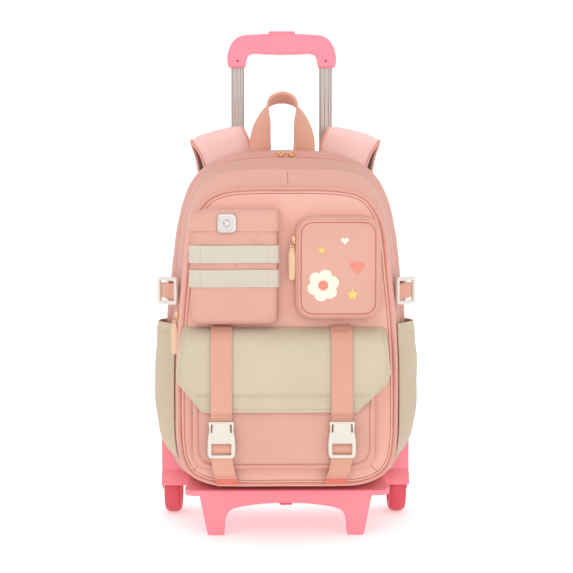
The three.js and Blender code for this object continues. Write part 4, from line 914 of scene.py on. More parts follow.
def tray_piece(name, loop, base, depth, edge, crown, look, node, wrinkle, seed, columns=320, rows=44,
        shape=None):
    """A sewn tray: side wall, rounded edge and a crowned front that is drawn in to its middle."""
    rim = loop.moved(-edge)
    middle = rim.points.mean(axis=0)
    run_wall = max(depth - edge, 0.01)
    run_edge = edge * math.pi / 2
    reach = np.linalg.norm(rim.points - middle, axis=1).mean()
    wall_share = min(0.3, run_wall / (run_wall + run_edge + reach) + 0.06)
    edge_share = wall_share + 0.22

    def profile(v):
        on_wall = np.clip(v / wall_share, 0, 1)
        turn = np.clip((v - wall_share) / (edge_share - wall_share), 0, 1) * math.pi / 2
        inwards = edge * (1 - np.cos(turn))
        out_depth = base + run_wall * on_wall + edge * np.sin(turn)
        face = np.clip((v - edge_share) / (1 - edge_share), 0, 1)
        return inwards, out_depth, face, run_wall * (1 - on_wall) + run_edge * (1 - turn / (math.pi / 2))

    def place(u, v):
        inwards, out_depth, face, _ = profile(v)
        outline = loop.at(u) - loop.outward(u) * inwards[:, None]
        outline = mix(outline, middle, face[:, None])
        out_depth = out_depth + crown * (1 - (1 - face) ** 2)
        points = np.column_stack([outline[:, 0], out_depth, outline[:, 1]])
        swell = rough(points, 38, seed) * wrinkle + rough(points, 13, seed + 9) * wrinkle * 0.3
        side = loop.outward(u)
        on_face = np.clip((v - wall_share * 0.6) / (edge_share - wall_share * 0.6), 0, 1)
        pinch = puckers(u, v * 1.6, loop.length, 0.35, step=11) * (v < 0.55)
        points[:, 1] += swell * on_face
        points[:, 0] += (pinch + swell * 0.5) * side[:, 0] * (1 - face)
        points[:, 2] += (pinch + swell * 0.5) * side[:, 1] * (1 - face)
        return shape(points, on_face) if shape else points

    def weave_at(u, v):
        inwards, _, face, run = profile(v)
        outline = mix(loop.at(u) - loop.outward(u) * inwards[:, None], middle, face[:, None])
        return outline + loop.outward(u) * run[:, None]

    piece = cloth_piece(name, columns, rows, place, (1, 1), CLOTH, ring=True, weave_at=weave_at)
    return dress(piece, look, "rose_fabric", "chassis", node)


# The front panel takes the lighter copy of the rose cloth, painted light against the shade between the
# pockets.
tray_piece(
    "front_panel_cloth", panel_loop.moved(-2.2), 146.4, 5.8, 4.6, 1.2, ROSE_PANEL_LIGHTENED,
    "front_panel", wrinkle=0.45, seed=4.0, columns=400, rows=60)


# Straps and webbing

def strap(name, path, across, width, thickness, look, slot_name, nodes=(), steps=120, rib=0.25):
    """Webbing along a path: its width lies along `across`, and its long edges are rolled."""
    path = np.asarray(path, float)
    across = np.broadcast_to(np.asarray(across, float), path.shape)
    share = lengths_along(path) / lengths_along(path)[-1]
    grid = np.linspace(0, 1, steps + 1)
    middle = np.stack([np.interp(grid, share, path[:, k]) for k in range(3)], axis=-1)
    wide = np.stack([np.interp(grid, share, across[:, k]) for k in range(3)], axis=-1)
    wide /= np.linalg.norm(wide, axis=1)[:, None]
    run = np.gradient(middle, axis=0)
    run /= np.linalg.norm(run, axis=1)[:, None]
    off = np.cross(wide, run)
    off /= np.linalg.norm(off, axis=1)[:, None]
    half = width / 2
    flat = np.linspace(-1, 1, 10)
    section = [(-half, 0.0)]
    section += [(s * (half - thickness * 0.35), thickness / 2 * (1 + rib * abs(s) ** 8)) for s in flat]
    section += [(half, 0.0)]
    section += [(-s * (half - thickness * 0.35), -thickness / 2 * (1 + rib * abs(s) ** 8)) for s in flat]
    section = np.array(section + section[:1])
    girth = lengths_along(section) / lengths_along(section)[-1]
    corner = np.linspace(0, 1, len(section))

    def place(u, v):
        lean = np.interp(u, corner, section[:, 0])
        lift = np.interp(u, corner, section[:, 1])
        point = [np.interp(v, grid, middle[:, k]) for k in range(3)]
        side = [np.interp(v, grid, wide[:, k]) for k in range(3)]
        up = [np.interp(v, grid, off[:, k]) for k in range(3)]
        return np.stack([point[k] + side[k] * lean + up[k] * lift for k in range(3)], axis=-1)

    def weave_at(u, v):
        return np.column_stack([np.interp(u, corner, girth) * width * 2, v * lengths_along(path)[-1]])

    piece = cloth_piece(name, len(section) - 1, steps, place, (1, 1), wall=0, ring=True, weave_at=weave_at)
    face_outwards(piece, fill_ends=True)
    smooth(piece, 50)
    return dress(piece, look, slot_name, "chassis", *nodes)


# Upper left pocket: body, flap, two webbing bands and a snap

left_box = span("left_pocket")
LEFT_BASE = PANEL_FACE - 0.6
LEFT_FACE = left_box["front"]
LEFT_SHOULDER = 17.0
LEFT_FLAP_SEAM = 408.4


def left_outline():
    left, right, bottom, top = (left_box[edge] for edge in ("left", "right", "bottom", "top"))
    return corner_loop([
        (left, bottom, 12), (right, bottom, 12), (right, top, 7),
        (left + LEFT_SHOULDER, top, 9), (left, top - LEFT_SHOULDER * 0.85, 8),
    ])


def left_shape(points, on_face):
    """The front sags a little towards its bottom, with a pleat at the lower right corner."""
    x, z = points[:, 0], points[:, 2]
    pleat = np.exp(-((x - (left_box["right"] - 9)) / 2.2) ** 2) * np.clip((312 - z) / 16, 0, 1)
    points[:, 1] += on_face * (1.4 * np.exp(-((z - 318) / 22) ** 2) - 1.6 * pleat)
    return points


tray_piece(
    "left_pocket_cloth", left_outline(), LEFT_BASE, LEFT_FACE - LEFT_BASE, 7.5, 1.0,
    ROSE, "left_pocket", wrinkle=0.45, seed=6.0, shape=left_shape)
FLAP_OUT = LEFT_FACE + 2.1
FLAP_ROUND = 7.0
FLAP_SIDE = 0.07


def left_flap_point(u, v):
    """A short flap over the pocket's top: it bends back at both sides and over the top."""
    left, right, top = left_box["left"] - 1.4, left_box["right"] + 1.4, left_box["top"] + 1.2
    inner_u = np.clip((u - FLAP_SIDE) / (1 - 2 * FLAP_SIDE), 0, 1)
    inner_v = np.clip(v / (1 - FLAP_SIDE), 0, 1)
    even_u = 0.5 - 0.5 * np.cos(inner_u * math.pi)
    z = LEFT_FLAP_SEAM + (top - LEFT_FLAP_SEAM) * np.sin(inner_v * math.pi / 2)
    slope = LEFT_SHOULDER * np.clip((z - (top - LEFT_SHOULDER * 0.9)) / (LEFT_SHOULDER * 0.9), 0, 1) ** 1.3
    x = left + slope + (right - left - slope) * even_u
    to_edge = np.minimum(np.minimum(x - left - slope, right - x), top - z)
    bend = FLAP_ROUND * (1 - np.sqrt(np.clip(1 - np.clip(1 - to_edge / FLAP_ROUND, 0, 1) ** 2, 0, 1)))
    back = np.maximum(np.maximum(FLAP_SIDE - u, u - 1 + FLAP_SIDE), v - 1 + FLAP_SIDE) / FLAP_SIDE
    depth = mix(FLAP_OUT - bend, LEFT_BASE + 0.6, np.clip(back, 0, 1))
    points = np.column_stack([x, depth, z])
    above_seam = z - LEFT_FLAP_SEAM
    hem = 0.5 * np.exp(-((above_seam - 4) / 0.8) ** 2) + 0.5 * np.exp(-((above_seam - 6.8) / 0.8) ** 2)
    points[:, 1] += (0.5 * rough(points, 40, 7) - hem) * (back <= 0)
    return points


left_flap = cloth_piece("left_pocket_flap_cloth", 120, 56, left_flap_point, (94, 44), wall=1.1)
dress(left_flap, ROSE, "rose_fabric", "chassis", "left_pocket_flap")


def band_path(level, lift):
    left, right = left_box["left"] - 1.0, left_box["right"] + 1.0
    face = LEFT_FACE + lift
    points = [
        (left - 0.4, LEFT_FACE - 14, level), (left - 0.6, LEFT_FACE - 8, level),
        (left + 1.6, LEFT_FACE - 1.4, level),
        (left + 8, face, level), (left + 30, face + 0.9, level - 0.2),
        ((left + right) / 2, face + 0.5, level),
        (right - 30, face + 0.9, level + 0.2), (right - 8, face, level),
        (right - 1.6, LEFT_FACE - 1.4, level),
        (right + 0.6, LEFT_FACE - 8, level), (right + 0.4, LEFT_FACE - 14, level),
    ]
    return smooth_curve(points)


BAND_WIDTH = 23.0
band_levels = []
for name, node in (("upper", "pocket_band_upper"), ("lower", "pocket_band_lower")):
    level = centre_of(node)[2]
    band_levels.append(level)
    strap(f"band_{name}", band_path(level, 1.6), (0, 0, 1), BAND_WIDTH, 1.5, CREAM, "cream_webbing",
        nodes=[node], steps=160)

bar_tacks = []
for level in band_levels:
    for x in (left_box["right"] - 12.5, left_box["left"] + 13):
        bar_tacks.append([(x, LEFT_FACE + 3.3, level - 9.5), (x, LEFT_FACE + 3.3, level + 9.5)])
sew("band_tacks", bar_tacks, "chassis", THREAD_CREAM, "cream_webbing", step=1.2)

SNAP_X, _, SNAP_Z = centre_of("pocket_snap")


def rounded_square(size, radius, x=0.0, z=0.0, height=None):
    wide, high = size / 2, (height or size) / 2
    return corner_loop([(x - wide, z - high, radius), (x + wide, z - high, radius),
        (x + wide, z + high, radius), (x - wide, z + high, radius)]).points[::12]


SNAP_SIZE = 25.0
snap_rim = slab("snap_rim", rounded_square(SNAP_SIZE, 7, SNAP_X, SNAP_Z), 3.4, LEFT_FACE + 1.6, 1.2)
dress(snap_rim, SILVER, "silver_metal", "chassis", "pocket_snap")
snap_face = slab("snap_face", rounded_square(SNAP_SIZE - 6, 5.5, SNAP_X, SNAP_Z), 2.2, LEFT_FACE + 3.6, 1.0)
dress(snap_face, PEARL, "silver_metal", "chassis")
pick_nothing()
bpy.ops.mesh.primitive_uv_sphere_add(segments=32, ring_count=16, radius=1)
stud = named(bpy.context.object, "snap_stud")
stud.scale = (5.2 * MM, 1.9 * MM, 5.2 * MM)
stud.location = to_frame([SNAP_X, LEFT_FACE + 5.9, SNAP_Z])
settle(stud)
smooth(stud)
dress(stud, SILVER, "silver_metal", "chassis")

# Upper right pocket: body and piping; its slider, pull and printed hearts and stars are made further down

right_box = span("right_pocket")
RIGHT_FACE = right_box["front"]
RIGHT_CORNER = 25.0


def right_outline(inwards):
    left, right = right_box["left"] + inwards, right_box["right"] - inwards
    low, high = right_box["bottom"] + inwards, right_box["top"] - inwards
    r = RIGHT_CORNER - inwards
    return corner_loop([(left, low, r), (right, low, r), (right, high, r), (left, high, r)])


tray_piece(
    "right_pocket_cloth", right_outline(0), LEFT_BASE, RIGHT_FACE - LEFT_BASE, 6.5, 1.5,
    ROSE, "right_pocket", wrinkle=0.4, seed=8.0)
piping_ring("right_pocket_piping_cord", right_outline(0.8), LEFT_BASE + 2.2, 2.2)
piping_ring("right_pocket_front_cord", right_outline(5.2), RIGHT_FACE + 0.3, 1.5, "right_pocket_piping")

# Lower pocket and its piping

low_box = span("lower_pocket")
LOW_FACE = low_box["front"]


def low_outline(inwards):
    left, right = low_box["left"] + inwards, low_box["right"] - inwards
    low, high = low_box["bottom"] + inwards, low_box["top"] - inwards
    return corner_loop([(left, low, 24), (right, low, 24), (right, high, 10), (left, high, 10)])


def low_shape(points, on_face):
    """Fuller towards the bottom, with a shallow dip under each strap."""
    z = points[:, 2]
    points[:, 1] += on_face * (2.2 * np.exp(-((z - 150) / 45) ** 2) - 1.2)
    return points


tray_piece(
    "lower_pocket_cloth", low_outline(0), LEFT_BASE, LOW_FACE - LEFT_BASE, 9, 1.5,
    ROSE, "lower_pocket", wrinkle=0.9, seed=9.0, columns=400, rows=56, shape=low_shape)
piping_ring("lower_pocket_base_cord", low_outline(-2.2), LEFT_BASE + 2.0, 2.3, "lower_pocket_piping")
piping_ring("lower_pocket_front_cord", low_outline(5.0), LOW_FACE - 0.9, 1.5)

# Flap over the lower pocket

flap_box = span("flap")
FLAP_TOP = flap_box["top"]
FLAP_BOTTOM = flap_box["bottom"]
FLAP_HEIGHT = FLAP_TOP - FLAP_BOTTOM
FLAP_SHIFT = -6.0
FLAP_HALF = 139.5
FLAP_SAG = 5.0
FLAP_BASE = PANEL_FACE + 2.0
FLAP_REACH = LOW_FACE - LEFT_BASE + 3.0
flap_rows = [(0, 0.02), (0.03, 0.3), (0.08, 0.66), (0.16, 0.93), (0.28, 1.02), (0.5, 1.05), (0.75, 1.05),
    (1, 1.04)]
flap_left_rows = [(0, 0.94), (0.3, 0.97), (0.54, 1), (0.66, 0.975), (1, 0.754)]
flap_right_rows = [(0, 0.955), (0.3, 0.98), (0.54, 1), (0.66, 0.965), (1, 0.69)]
flap_curve = smooth_curve([(FLAP_BASE + out * FLAP_REACH, FLAP_TOP - down * FLAP_HEIGHT) for down,
    out in flap_rows])


def flap_point(x, share, lift=0.0):
    """A point of the flap at a distance across and a share of the way down, lifted off it."""
    depth, height = along(flap_curve, share).T
    ahead = along(flap_curve, np.clip(share + 0.004, 0, 1)) - along(flap_curve, np.clip(share - 0.004, 0, 1))
    ahead /= np.linalg.norm(ahead, axis=1)[:, None]
    sideways = np.abs(x - FLAP_SHIFT) / FLAP_HALF
    sag = FLAP_SAG * sideways ** 6
    return np.column_stack([x, depth - sag - ahead[:, 1] * lift, height + ahead[:, 0] * lift])


def flap_edges(share):
    down = (FLAP_TOP - along(flap_curve, share)[:, 1]) / FLAP_HEIGHT
    left = np.interp(down, *np.array(flap_left_rows).T)
    right = np.interp(down, *np.array(flap_right_rows).T)
    return FLAP_SHIFT - left * FLAP_HALF, FLAP_SHIFT + right * FLAP_HALF


FLAP_LENGTH = lengths_along(flap_curve)[-1]


def flap_surface(u, v):
    share = 1 - v
    left, right = flap_edges(share)
    x = left + (right - left) * u
    points = flap_point(x, share)
    to_edge = np.minimum(np.minimum(u, 1 - u) * (right - left), v * FLAP_LENGTH)
    hem = 0.55 * np.exp(-((to_edge - 3.4) / 1.0) ** 2) + 0.4 * np.exp(-((v * FLAP_LENGTH - 22) / 1.2) ** 2)
    rim = 0.9 * np.exp(-((to_edge - 7) / 4) ** 2)
    lift = 0.7 * rough(points, 55, 11) + 0.25 * rough(points, 16, 12) - hem + rim
    return flap_point(x, share, lift)


def flap_weave(u, v):
    left, right = flap_edges(1 - v)
    return np.column_stack([left + (right - left) * u, v * FLAP_LENGTH])


flap_cloth = cloth_piece("flap_cloth", 180, 96, flap_surface, (1, 1), 1.6, edge=0.5, weave_at=flap_weave)
dress(flap_cloth, SAND, "sand_fabric", "chassis", "flap")


def flap_line(inwards, from_bottom, first=0.0, last=1.0, count=200):
    """A line across the flap at a distance above its lower edge."""
    share = np.full(count, 1 - from_bottom / FLAP_LENGTH)
    left, right = flap_edges(share)
    x = left + inwards + (right - left - 2 * inwards) * np.linspace(first, last, count)
    return flap_point(x, share, 1.2)


def flap_side_line(inwards, right_side, count=120):
    share = np.linspace(0.12, 1 - inwards / FLAP_LENGTH, count)
    left, right = flap_edges(share)
    x = right - inwards if right_side else left + inwards
    return flap_point(x, share, 1.2)


sew("flap_stitches", [
    flap_line(5, 4), flap_line(9, 20.5), flap_line(9, 23.5), flap_side_line(4.5, False),
        flap_side_line(4.5, True),
], "chassis", THREAD_SAND, "sand_fabric")

# Printed motifs on the right pocket, laid on its cloth


def lay_on(piece, target, lift):
    """Moves each vertex so that its depth counts from the target's front face."""
    towards_rear = Vector((0, 1, 0))
    for vertex in piece.data.vertices:
        hit, place, _normal, _face = target.ray_cast(Vector((vertex.co.x, -1, vertex.co.z)), towards_rear)
        if hit:
            above = REAR - vertex.co.y
            vertex.co.y = place.y - above - lift * MM
    piece.data.update()


def print_motif(name, outline, target, look):
    """A thin printed shape on the front face of a cloth piece."""
    piece = slab(name, outline, 0.35, 0.0)
    pick(piece)
    bpy.ops.object.mode_set(mode="EDIT")
    bpy.ops.mesh.select_all(action="SELECT")
    bpy.ops.mesh.quads_convert_to_tris(ngon_method="BEAUTY")
    bpy.ops.mesh.subdivide(number_cuts=3)
    bpy.ops.object.mode_set(mode="OBJECT")
    lay_on(piece, target, 0.12)
    return dress(piece, look, "rose_fabric", "chassis")


def petal_outline(x, z, size, petals, depth=0.22, turn=0.0):
    angles = np.linspace(0, 2 * math.pi, petals * 14 + 1)[:-1]
    radius = size / 2 * (1 - depth + depth * np.abs(np.cos(angles * petals / 2)) ** 0.7)
    return np.column_stack([x + radius * np.cos(angles + turn), z + radius * np.sin(angles + turn)])


def star_outline(x, z, size):
    points = []
    for k in range(10):
        radius = size / 2 if k % 2 == 0 else size / 4.4
        angle = math.pi / 2 + k * math.pi / 5
        points.append((x + radius * math.cos(angle), z + radius * math.sin(angle), size / 22))
    return corner_loop(points).points[::6]


def heart_outline(x, z, size):
    t = np.linspace(0, 2 * math.pi, 49)[:-1]
    across = 16 * np.sin(t) ** 3
    up = 13 * np.cos(t) - 5 * np.cos(2 * t) - 2 * np.cos(3 * t) - np.cos(4 * t)
    return np.column_stack([x - across * size / 34, z + up * size / 34])


PRINT_CREAM = plain_look("print_cream", (236, 227, 210), 0.6)
PRINT_CORAL = plain_look("print_coral", (232, 134, 116), 0.6)
PRINT_GOLD = plain_look("print_gold", (238, 200, 112), 0.6)
pocket_cloth = bpy.data.objects["right_pocket_cloth"]
print_motif("print_flower", petal_outline(46, 338, 42, 6, turn=0.3), pocket_cloth, PRINT_CREAM)
print_motif("print_flower_middle", petal_outline(46, 338, 13, 9, depth=0.05), pocket_cloth, PRINT_CORAL)
bpy.data.objects["print_flower_middle"].data.transform(Matrix.Translation((0, -0.0004, 0)))
print_motif("print_heart", heart_outline(90, 362, 20), pocket_cloth, PRINT_CORAL)
print_motif("print_star", star_outline(84, 326, 17), pocket_cloth, PRINT_GOLD)
print_motif("print_heart_small", heart_outline(74, 396, 11), pocket_cloth, PRINT_CREAM)
print_motif("print_star_small", star_outline(44, 384, 11), pocket_cloth, PRINT_GOLD)

# Seams drawn as thin dark lines beside the piping: painted shade in the seam creases

SEAM_CREASE_SHADE = plain_look("rose_seam_painted_shade", (184, 112, 96), 0.8)


def seam_on(name, line, target, radius=0.5):
    """A thin dark line laid on a cloth piece, from (across, height) points: painted shade of a seam crease.
    """
    points = np.column_stack([line[:, 0], np.zeros(len(line)), line[:, 1]])
    piece = rod(name, radius, points, sides=8)
    lay_on(piece, target, -0.1)
    dress(piece, SEAM_CREASE_SHADE, "rose_fabric", "chassis")


def seam_ring(name, loop, target, radius=0.5):
    ring = loop.at(np.linspace(0, 1, 361))
    ring[-1] = ring[0]
    seam_on(name, ring, target, radius)


front_cloth = bpy.data.objects["front_panel_cloth"]
seam_ring("front_panel_seam", panel_loop.moved(-6.0), front_cloth, 0.6)
seam_ring("right_pocket_seam", right_outline(7.6), pocket_cloth)
seam_ring("lower_pocket_seam", low_outline(7.6), bpy.data.objects["lower_pocket_cloth"])
seam_ring("left_pocket_foot", left_outline().moved(0.6), front_cloth)
# Short seams: a mitre at each lower corner of the panel, and the middle of the front gusset's top
for name, start, end, target in (
    ("mitre_seam_l", (-125.6, 90.6), (-114.6, 101.5), front_cloth),
    ("mitre_seam_r", (118.4, 90.6), (109.6, 99.3), front_cloth),
    ("gusset_seam_top", (0.5, 470.0), (0.5, 486.0), bpy.data.objects["front_wall"]),
):
    steps = np.linspace(0, 1, 14)
    line = np.column_stack([start[k] + (end[k] - start[k]) * steps for k in (0, 1)])
    seam_on(name, line, target)

# Front straps with their buckles

STRAP_WIDTH = 28.0
STRAP_THICK = 1.6
strap_centres = {"l": -86.0, "r": 70.0}
BUCKLE_FACE = span("buckle_female_l")["front"]
BUCKLE_BACK = span("buckle_female_l")["back"]


def upper_strap(side):
    x = strap_centres[side]
    share = np.linspace(0.01, 0.86, 60)
    path = flap_point(np.full(60, x), share, 2.4)
    path = path[path[:, 2] > 186]
    mid = (BUCKLE_FACE + BUCKLE_BACK) / 2
    tail = [(x, mid + 2.2, 181), (x, mid + 1.8, 177.5), (x, mid - 0.4, 173.6), (x, mid - 3.2, 170.4),
        (x, mid - 3.6, 163)]
    path = smooth_curve(np.vstack([path[::6], tail]))
    return strap(f"front_strap_upper_{side}", path, (1, 0, 0), STRAP_WIDTH, STRAP_THICK, CORAL,
        "coral_webbing", nodes=[f"strap_upper_{side}"], steps=150)


lower_strap_rows = [(-0.02, 0.02, 1), (0.2, 0.1, 0.85), (0.38, 0.46, 0.65), (0.54, 0.76, 0.45),
    (0.74, 0.86, 0.25), (0.99, 0.92, 0)]


def lower_strap_path(side):
    turn = SIDES[side]
    bottom = BAG_BOTTOM + PANEL_LIFT
    top = span(f"buckle_female_{side}")["bottom"]
    middle = (BUCKLE_FACE + BUCKLE_BACK) / 2 - LEFT_BASE
    x = strap_centres[side]
    points = [(x - turn * lean * 7, LEFT_BASE + 2.5 + out * middle, bottom + (top - bottom) * up)
              for up, out, lean in lower_strap_rows]
    mid = (BUCKLE_FACE + BUCKLE_BACK) / 2
    points += [(x, mid - 2.8, top + 1), (x, mid - 1.6, top + 4.6), (x, mid + 0.4, top + 8),
        (x, mid + 0.2, top + 13), (x, mid - 2.6, top + 19)]
    return smooth_curve(points)


for side in SIDES:
    upper_strap(side)
    path = lower_strap_path(side)
    strap(f"front_strap_lower_{side}", path, (1, 0, 0), STRAP_WIDTH, STRAP_THICK, CORAL, "coral_webbing",
        nodes=[f"strap_lower_{side}"], steps=120)


def part_of(path, first, last, lift):
    """The stretch of a path between two of its shares, lifted off it towards the front."""
    share = lengths_along(path) / lengths_along(path)[-1]
    grid = np.linspace(first, last, 16)
    stretch = np.stack([np.interp(grid, share, path[:, k]) for k in range(3)], axis=-1)
    run = np.gradient(stretch, axis=0)
    run /= np.linalg.norm(run, axis=1)[:, None]
    off = np.cross(np.broadcast_to((1.0, 0, 0), run.shape), run)
    off *= np.sign(off[:, 1] + 1e-9)[:, None]
    return stretch + off * lift


for side in SIDES:
    path = lower_strap_path(side)
    band = part_of(path, 0.18, 0.3, 1.3)
    strap(f"strap_band_{side}", band, (1, 0, 0), STRAP_WIDTH + 0.4, 1.0, CORAL, "coral_webbing", steps=12)
    keeper = part_of(path, 0.04, 0.18, 1.9)
    strap(f"strap_keeper_{side}", keeper, (1, 0, 0), STRAP_WIDTH + 1.6, 1.6, CORAL_DEEP, "coral_webbing",
        steps=12)
    x = strap_centres[side]
    rows = []
    for share in (0.14, 0.17):
        xs = np.linspace(x - STRAP_WIDTH / 2 + 2, x + STRAP_WIDTH / 2 - 2, 20)
        rows.append(flap_point(xs, np.full(20, share), 3.5))
    sew(f"strap_stitches_{side}", rows, "chassis", THREAD_CORAL, "coral_webbing", step=2.0)

# Buckles: a male half with two slots, and a female half with a squeeze window on each side


def buckle(side):
    x = strap_centres[side]
    male = span(f"buckle_male_{side}")
    female = span(f"buckle_female_{side}")
    thick = BUCKLE_FACE - BUCKLE_BACK
    joint = female["top"]
    top = male["top"]

    def shape(rows):
        """A symmetric outline of (half width, height, radius) rows from its bottom to its top."""
        right = [(x + half, z, r) for half, z, r in rows]
        left = [(x - half, z, r) for half, z, r in rows[::-1]]
        return corner_loop(right + left).points[::8]

    def window(low, high, half, r=1.2):
        return shape([(half, low, r), (half, high, r)])

    frame_half = [(16.4, joint - 1, 1), (16.8, joint + 4, 2), (16.6, joint + 9, 2), (17.0, top - 3, 2),
        (15.8, top, 2.2)]
    slot_half, slot_low, slot_high = 14.2, joint + 6.8, joint + 11.4
    body = slab(f"buckle_frame_{side}", shape(frame_half), thick - 3.0, BUCKLE_BACK + 1.4, 1.1,
        holes=[window(slot_low, slot_high, slot_half)])
    ahead = (BUCKLE_FACE + BUCKLE_BACK) / 2 + 0.6
    carve(body, block(f"buckle_pass_{side}", x - slot_half, x + slot_half, ahead, BUCKLE_FACE + 6, slot_low,
        top + 6))
    smooth(body, 40)
    dress(body, IVORY, "ivory_plastic", "chassis", f"buckle_male_{side}")
    bottom = female["bottom"]
    shell_rows = [
        (16.4, bottom, 3), (17.8, bottom + 8, 4), (17.6, bottom + 20, 4), (16.6, bottom + 30, 5),
        (15.0, bottom + 36, 4), (16.2, joint - 5, 3), (16.6, joint - 1.2, 1.6),
    ]
    slits = [corner_loop([
        (x + t * 12.7 - 1.1, joint - 15, 0.8), (x + t * 12.7 + 1.1, joint - 15, 0.8),
        (x + t * 12.2 + 1.1, joint - 4, 0.8), (x + t * 12.2 - 1.1, joint - 4, 0.8),
    ]).points[::10] for t in (-1, 1)]
    shell = slab(f"buckle_shell_{side}", shape(shell_rows), thick - 0.8, BUCKLE_BACK + 0.4, 1.8, segments=4,
        holes=[window(bottom + 3.7, bottom + 18.9, 13.0, 2.0)] + slits)
    dress(shell, IVORY, "ivory_plastic", "chassis", f"buckle_female_{side}")
    rim = corner_loop([
        (x - 10.2, bottom + 22, 4), (x + 10.2, bottom + 22, 4), (x + 10.8, joint - 3, 3),
        (x - 10.8, joint - 3, 3)]).points[::8]
    plate = slab(f"buckle_plate_{side}", rim, 1.3, BUCKLE_FACE - 1.0, 0.5)
    dress(plate, IVORY, "ivory_plastic", "chassis")


for side in SIDES:
    buckle(side)

# Side pockets with an elastic hem

SIDE_FRONT = 107.0
SIDE_REAR = 15.0
SIDE_BULGE = 17.0
side_rows = [(0, 0.02), (0.05, 0.32), (0.2, 0.78), (0.45, 1), (0.75, 0.92), (1, 0.7)]


def wall_reach(depths, heights):
    """How far the bag's wall reaches to the right at depths and heights, from a grid of places on it."""
    grid_u = np.linspace(0.02, 0.48, 160)
    grid_d = np.linspace(MAIN_BACK + 0.5, MAIN_FRONT - 0.5, 40)
    uu, dd = np.meshgrid(grid_u, grid_d, indexing="ij")
    found = main_point(uu.ravel(), dd.ravel(), np.full(uu.size, 1.6))
    x = found[:, 0].reshape(uu.shape)
    z = found[:, 2].reshape(uu.shape)
    out = np.empty(len(depths))
    for k in range(len(depths)):
        column = np.clip(np.searchsorted(grid_d, depths[k]), 1, len(grid_d) - 1)
        part = np.clip((depths[k] - grid_d[column - 1]) / (grid_d[column] - grid_d[column - 1]), 0, 1)
        at = [np.interp(heights[k], z[:, c], x[:, c]) for c in (column - 1, column)]
        out[k] = at[0] * (1 - part) + at[1] * part
    return out


def side_pocket(side):
    box_here = span(f"side_pocket_{side}")
    turn = SIDES[side]
    bottom, top = box_here["bottom"] + 0.5, box_here["top"] - 0.3

    def place(u, v):
        back_to_front = u if side == "l" else 1 - u
        depth = SIDE_REAR + (SIDE_FRONT - SIDE_REAR) * back_to_front
        level = bottom + (top - bottom) * v
        bulge = read_table(side_rows, v) * np.sin(math.pi * np.clip(back_to_front, 0, 1)) ** 0.8 * SIDE_BULGE
        hem = np.clip((v - 0.93) / 0.01, 0, 1)
        gather = np.sin(back_to_front * 92 + 2 * np.sin(back_to_front * 13)) * 0.5
        shirr = gather * np.exp(-((v - 0.93) / 0.035) ** 2)
        shirr = shirr - 0.7 * np.exp(-((v - 0.925) / 0.006) ** 2) + 0.5 * hem
        points = np.column_stack([np.zeros(len(u)), depth, level])
        folds = 1.5 * rough(points, 42, 21 + turn) + 0.5 * rough(points, 17, 23)
        from_sides = np.minimum(1, np.minimum(back_to_front, 1 - back_to_front) * 9 + 0.05)
        near_seam = from_sides * np.minimum(1, v * 8 + 0.05)
        points[:, 0] = turn * (wall_reach(depth, level) + 1.6 + bulge + folds * near_seam + shirr * near_seam)
        return points

    def weave_at(u, v):
        return np.column_stack([u * 118, v * (top - bottom) * 1.05])

    piece = cloth_piece(f"side_pocket_{side}_cloth", 110, 120, place, (1, 1), 1.5, edge=0.4,
        weave_at=weave_at)
    dress(piece, SAND_SIDE, "sand_fabric", "chassis", f"side_pocket_{side}")


for side in SIDES:
    side_pocket(side)

# Haul loop

LOOP_SPREAD = 31.0
LOOP_SHIFT = -5.0
LOOP_RISE = 74.6
loop_rows = [(0, 0.98, 0, 0), (0.12, 0.98, 0.24, 20), (0.24, 0.86, 0.54, 52), (0.34, 0.7, 0.8, 84),
    (0.42, 0.42, 0.95, 108), (0.5, 0, 1, 116)]


def haul_loop():
    rows = loop_rows + [(1 - s, -out, up, turn) for s, out, up, turn in loop_rows[:-1][::-1]]
    points = [(LOOP_SHIFT + out * LOOP_SPREAD, 24.0, BAG_TOP - 0.4 + up * LOOP_RISE) for s, out, up,
        turn in rows]
    path = smooth_curve(points)
    run = np.gradient(path, axis=0)
    run /= np.linalg.norm(run, axis=1)[:, None]
    share = lengths_along(path) / lengths_along(path)[-1]
    half = 0.5 - np.abs(share - 0.5)
    turn = np.radians(np.interp(half, [r[0] for r in loop_rows], [r[3] for r in loop_rows]))
    flat = np.column_stack([run[:, 2], np.zeros(len(run)), -run[:, 0]]) * np.cos(turn)[:, None]
    flat[:, 1] -= np.sin(turn)
    return path, flat


loop_path, loop_flat = haul_loop()
strap("haul_loop_webbing", loop_path, loop_flat, 30.0, 2.8, CORAL, "coral_webbing", nodes=["haul_loop"],
    steps=200, rib=0.5)

# Shoulder straps: padded bands with a mesh underside

SHOULDER_WIDTH = 74.0
SHOULDER_THICK = 11.0
SHOULDER_SPREAD = 79.0
SHOULDER_SPLAY = 18.0
SHOULDER_RISE = 36.0
SHOULDER_DROP = 300.0
SHOULDER_BACK = 14.0
SHOULDER_TILT = 15.0
BELT_WIDTH = 25.0
shoulder_rows = [
    (-0.3, 0.34, 0, 1, 0.9, 0.7), (0.35, 0.34, 0.35, 1, 0.96, 0.72), (0.76, 0.44, 0.8, 1, 1, 0.8),
    (0.93, 0.76, 1, 1, 1, 0.9), (0.76, 1.12, 0.95, 1, 1, 0.9), (0.2, 1.2, 0.6, 0.9, 1, 0.95),
    (-1, 1.05, 0.2, 0.4, 1, 1), (-3.4, 0.75, 0.3, 0, 0.94, 1), (-5.4, 0.62, 0.6, 0, 0.8, 0.9),
    (-6.4, 0.56, 0.8, 0, 0.55, 0.6),
]


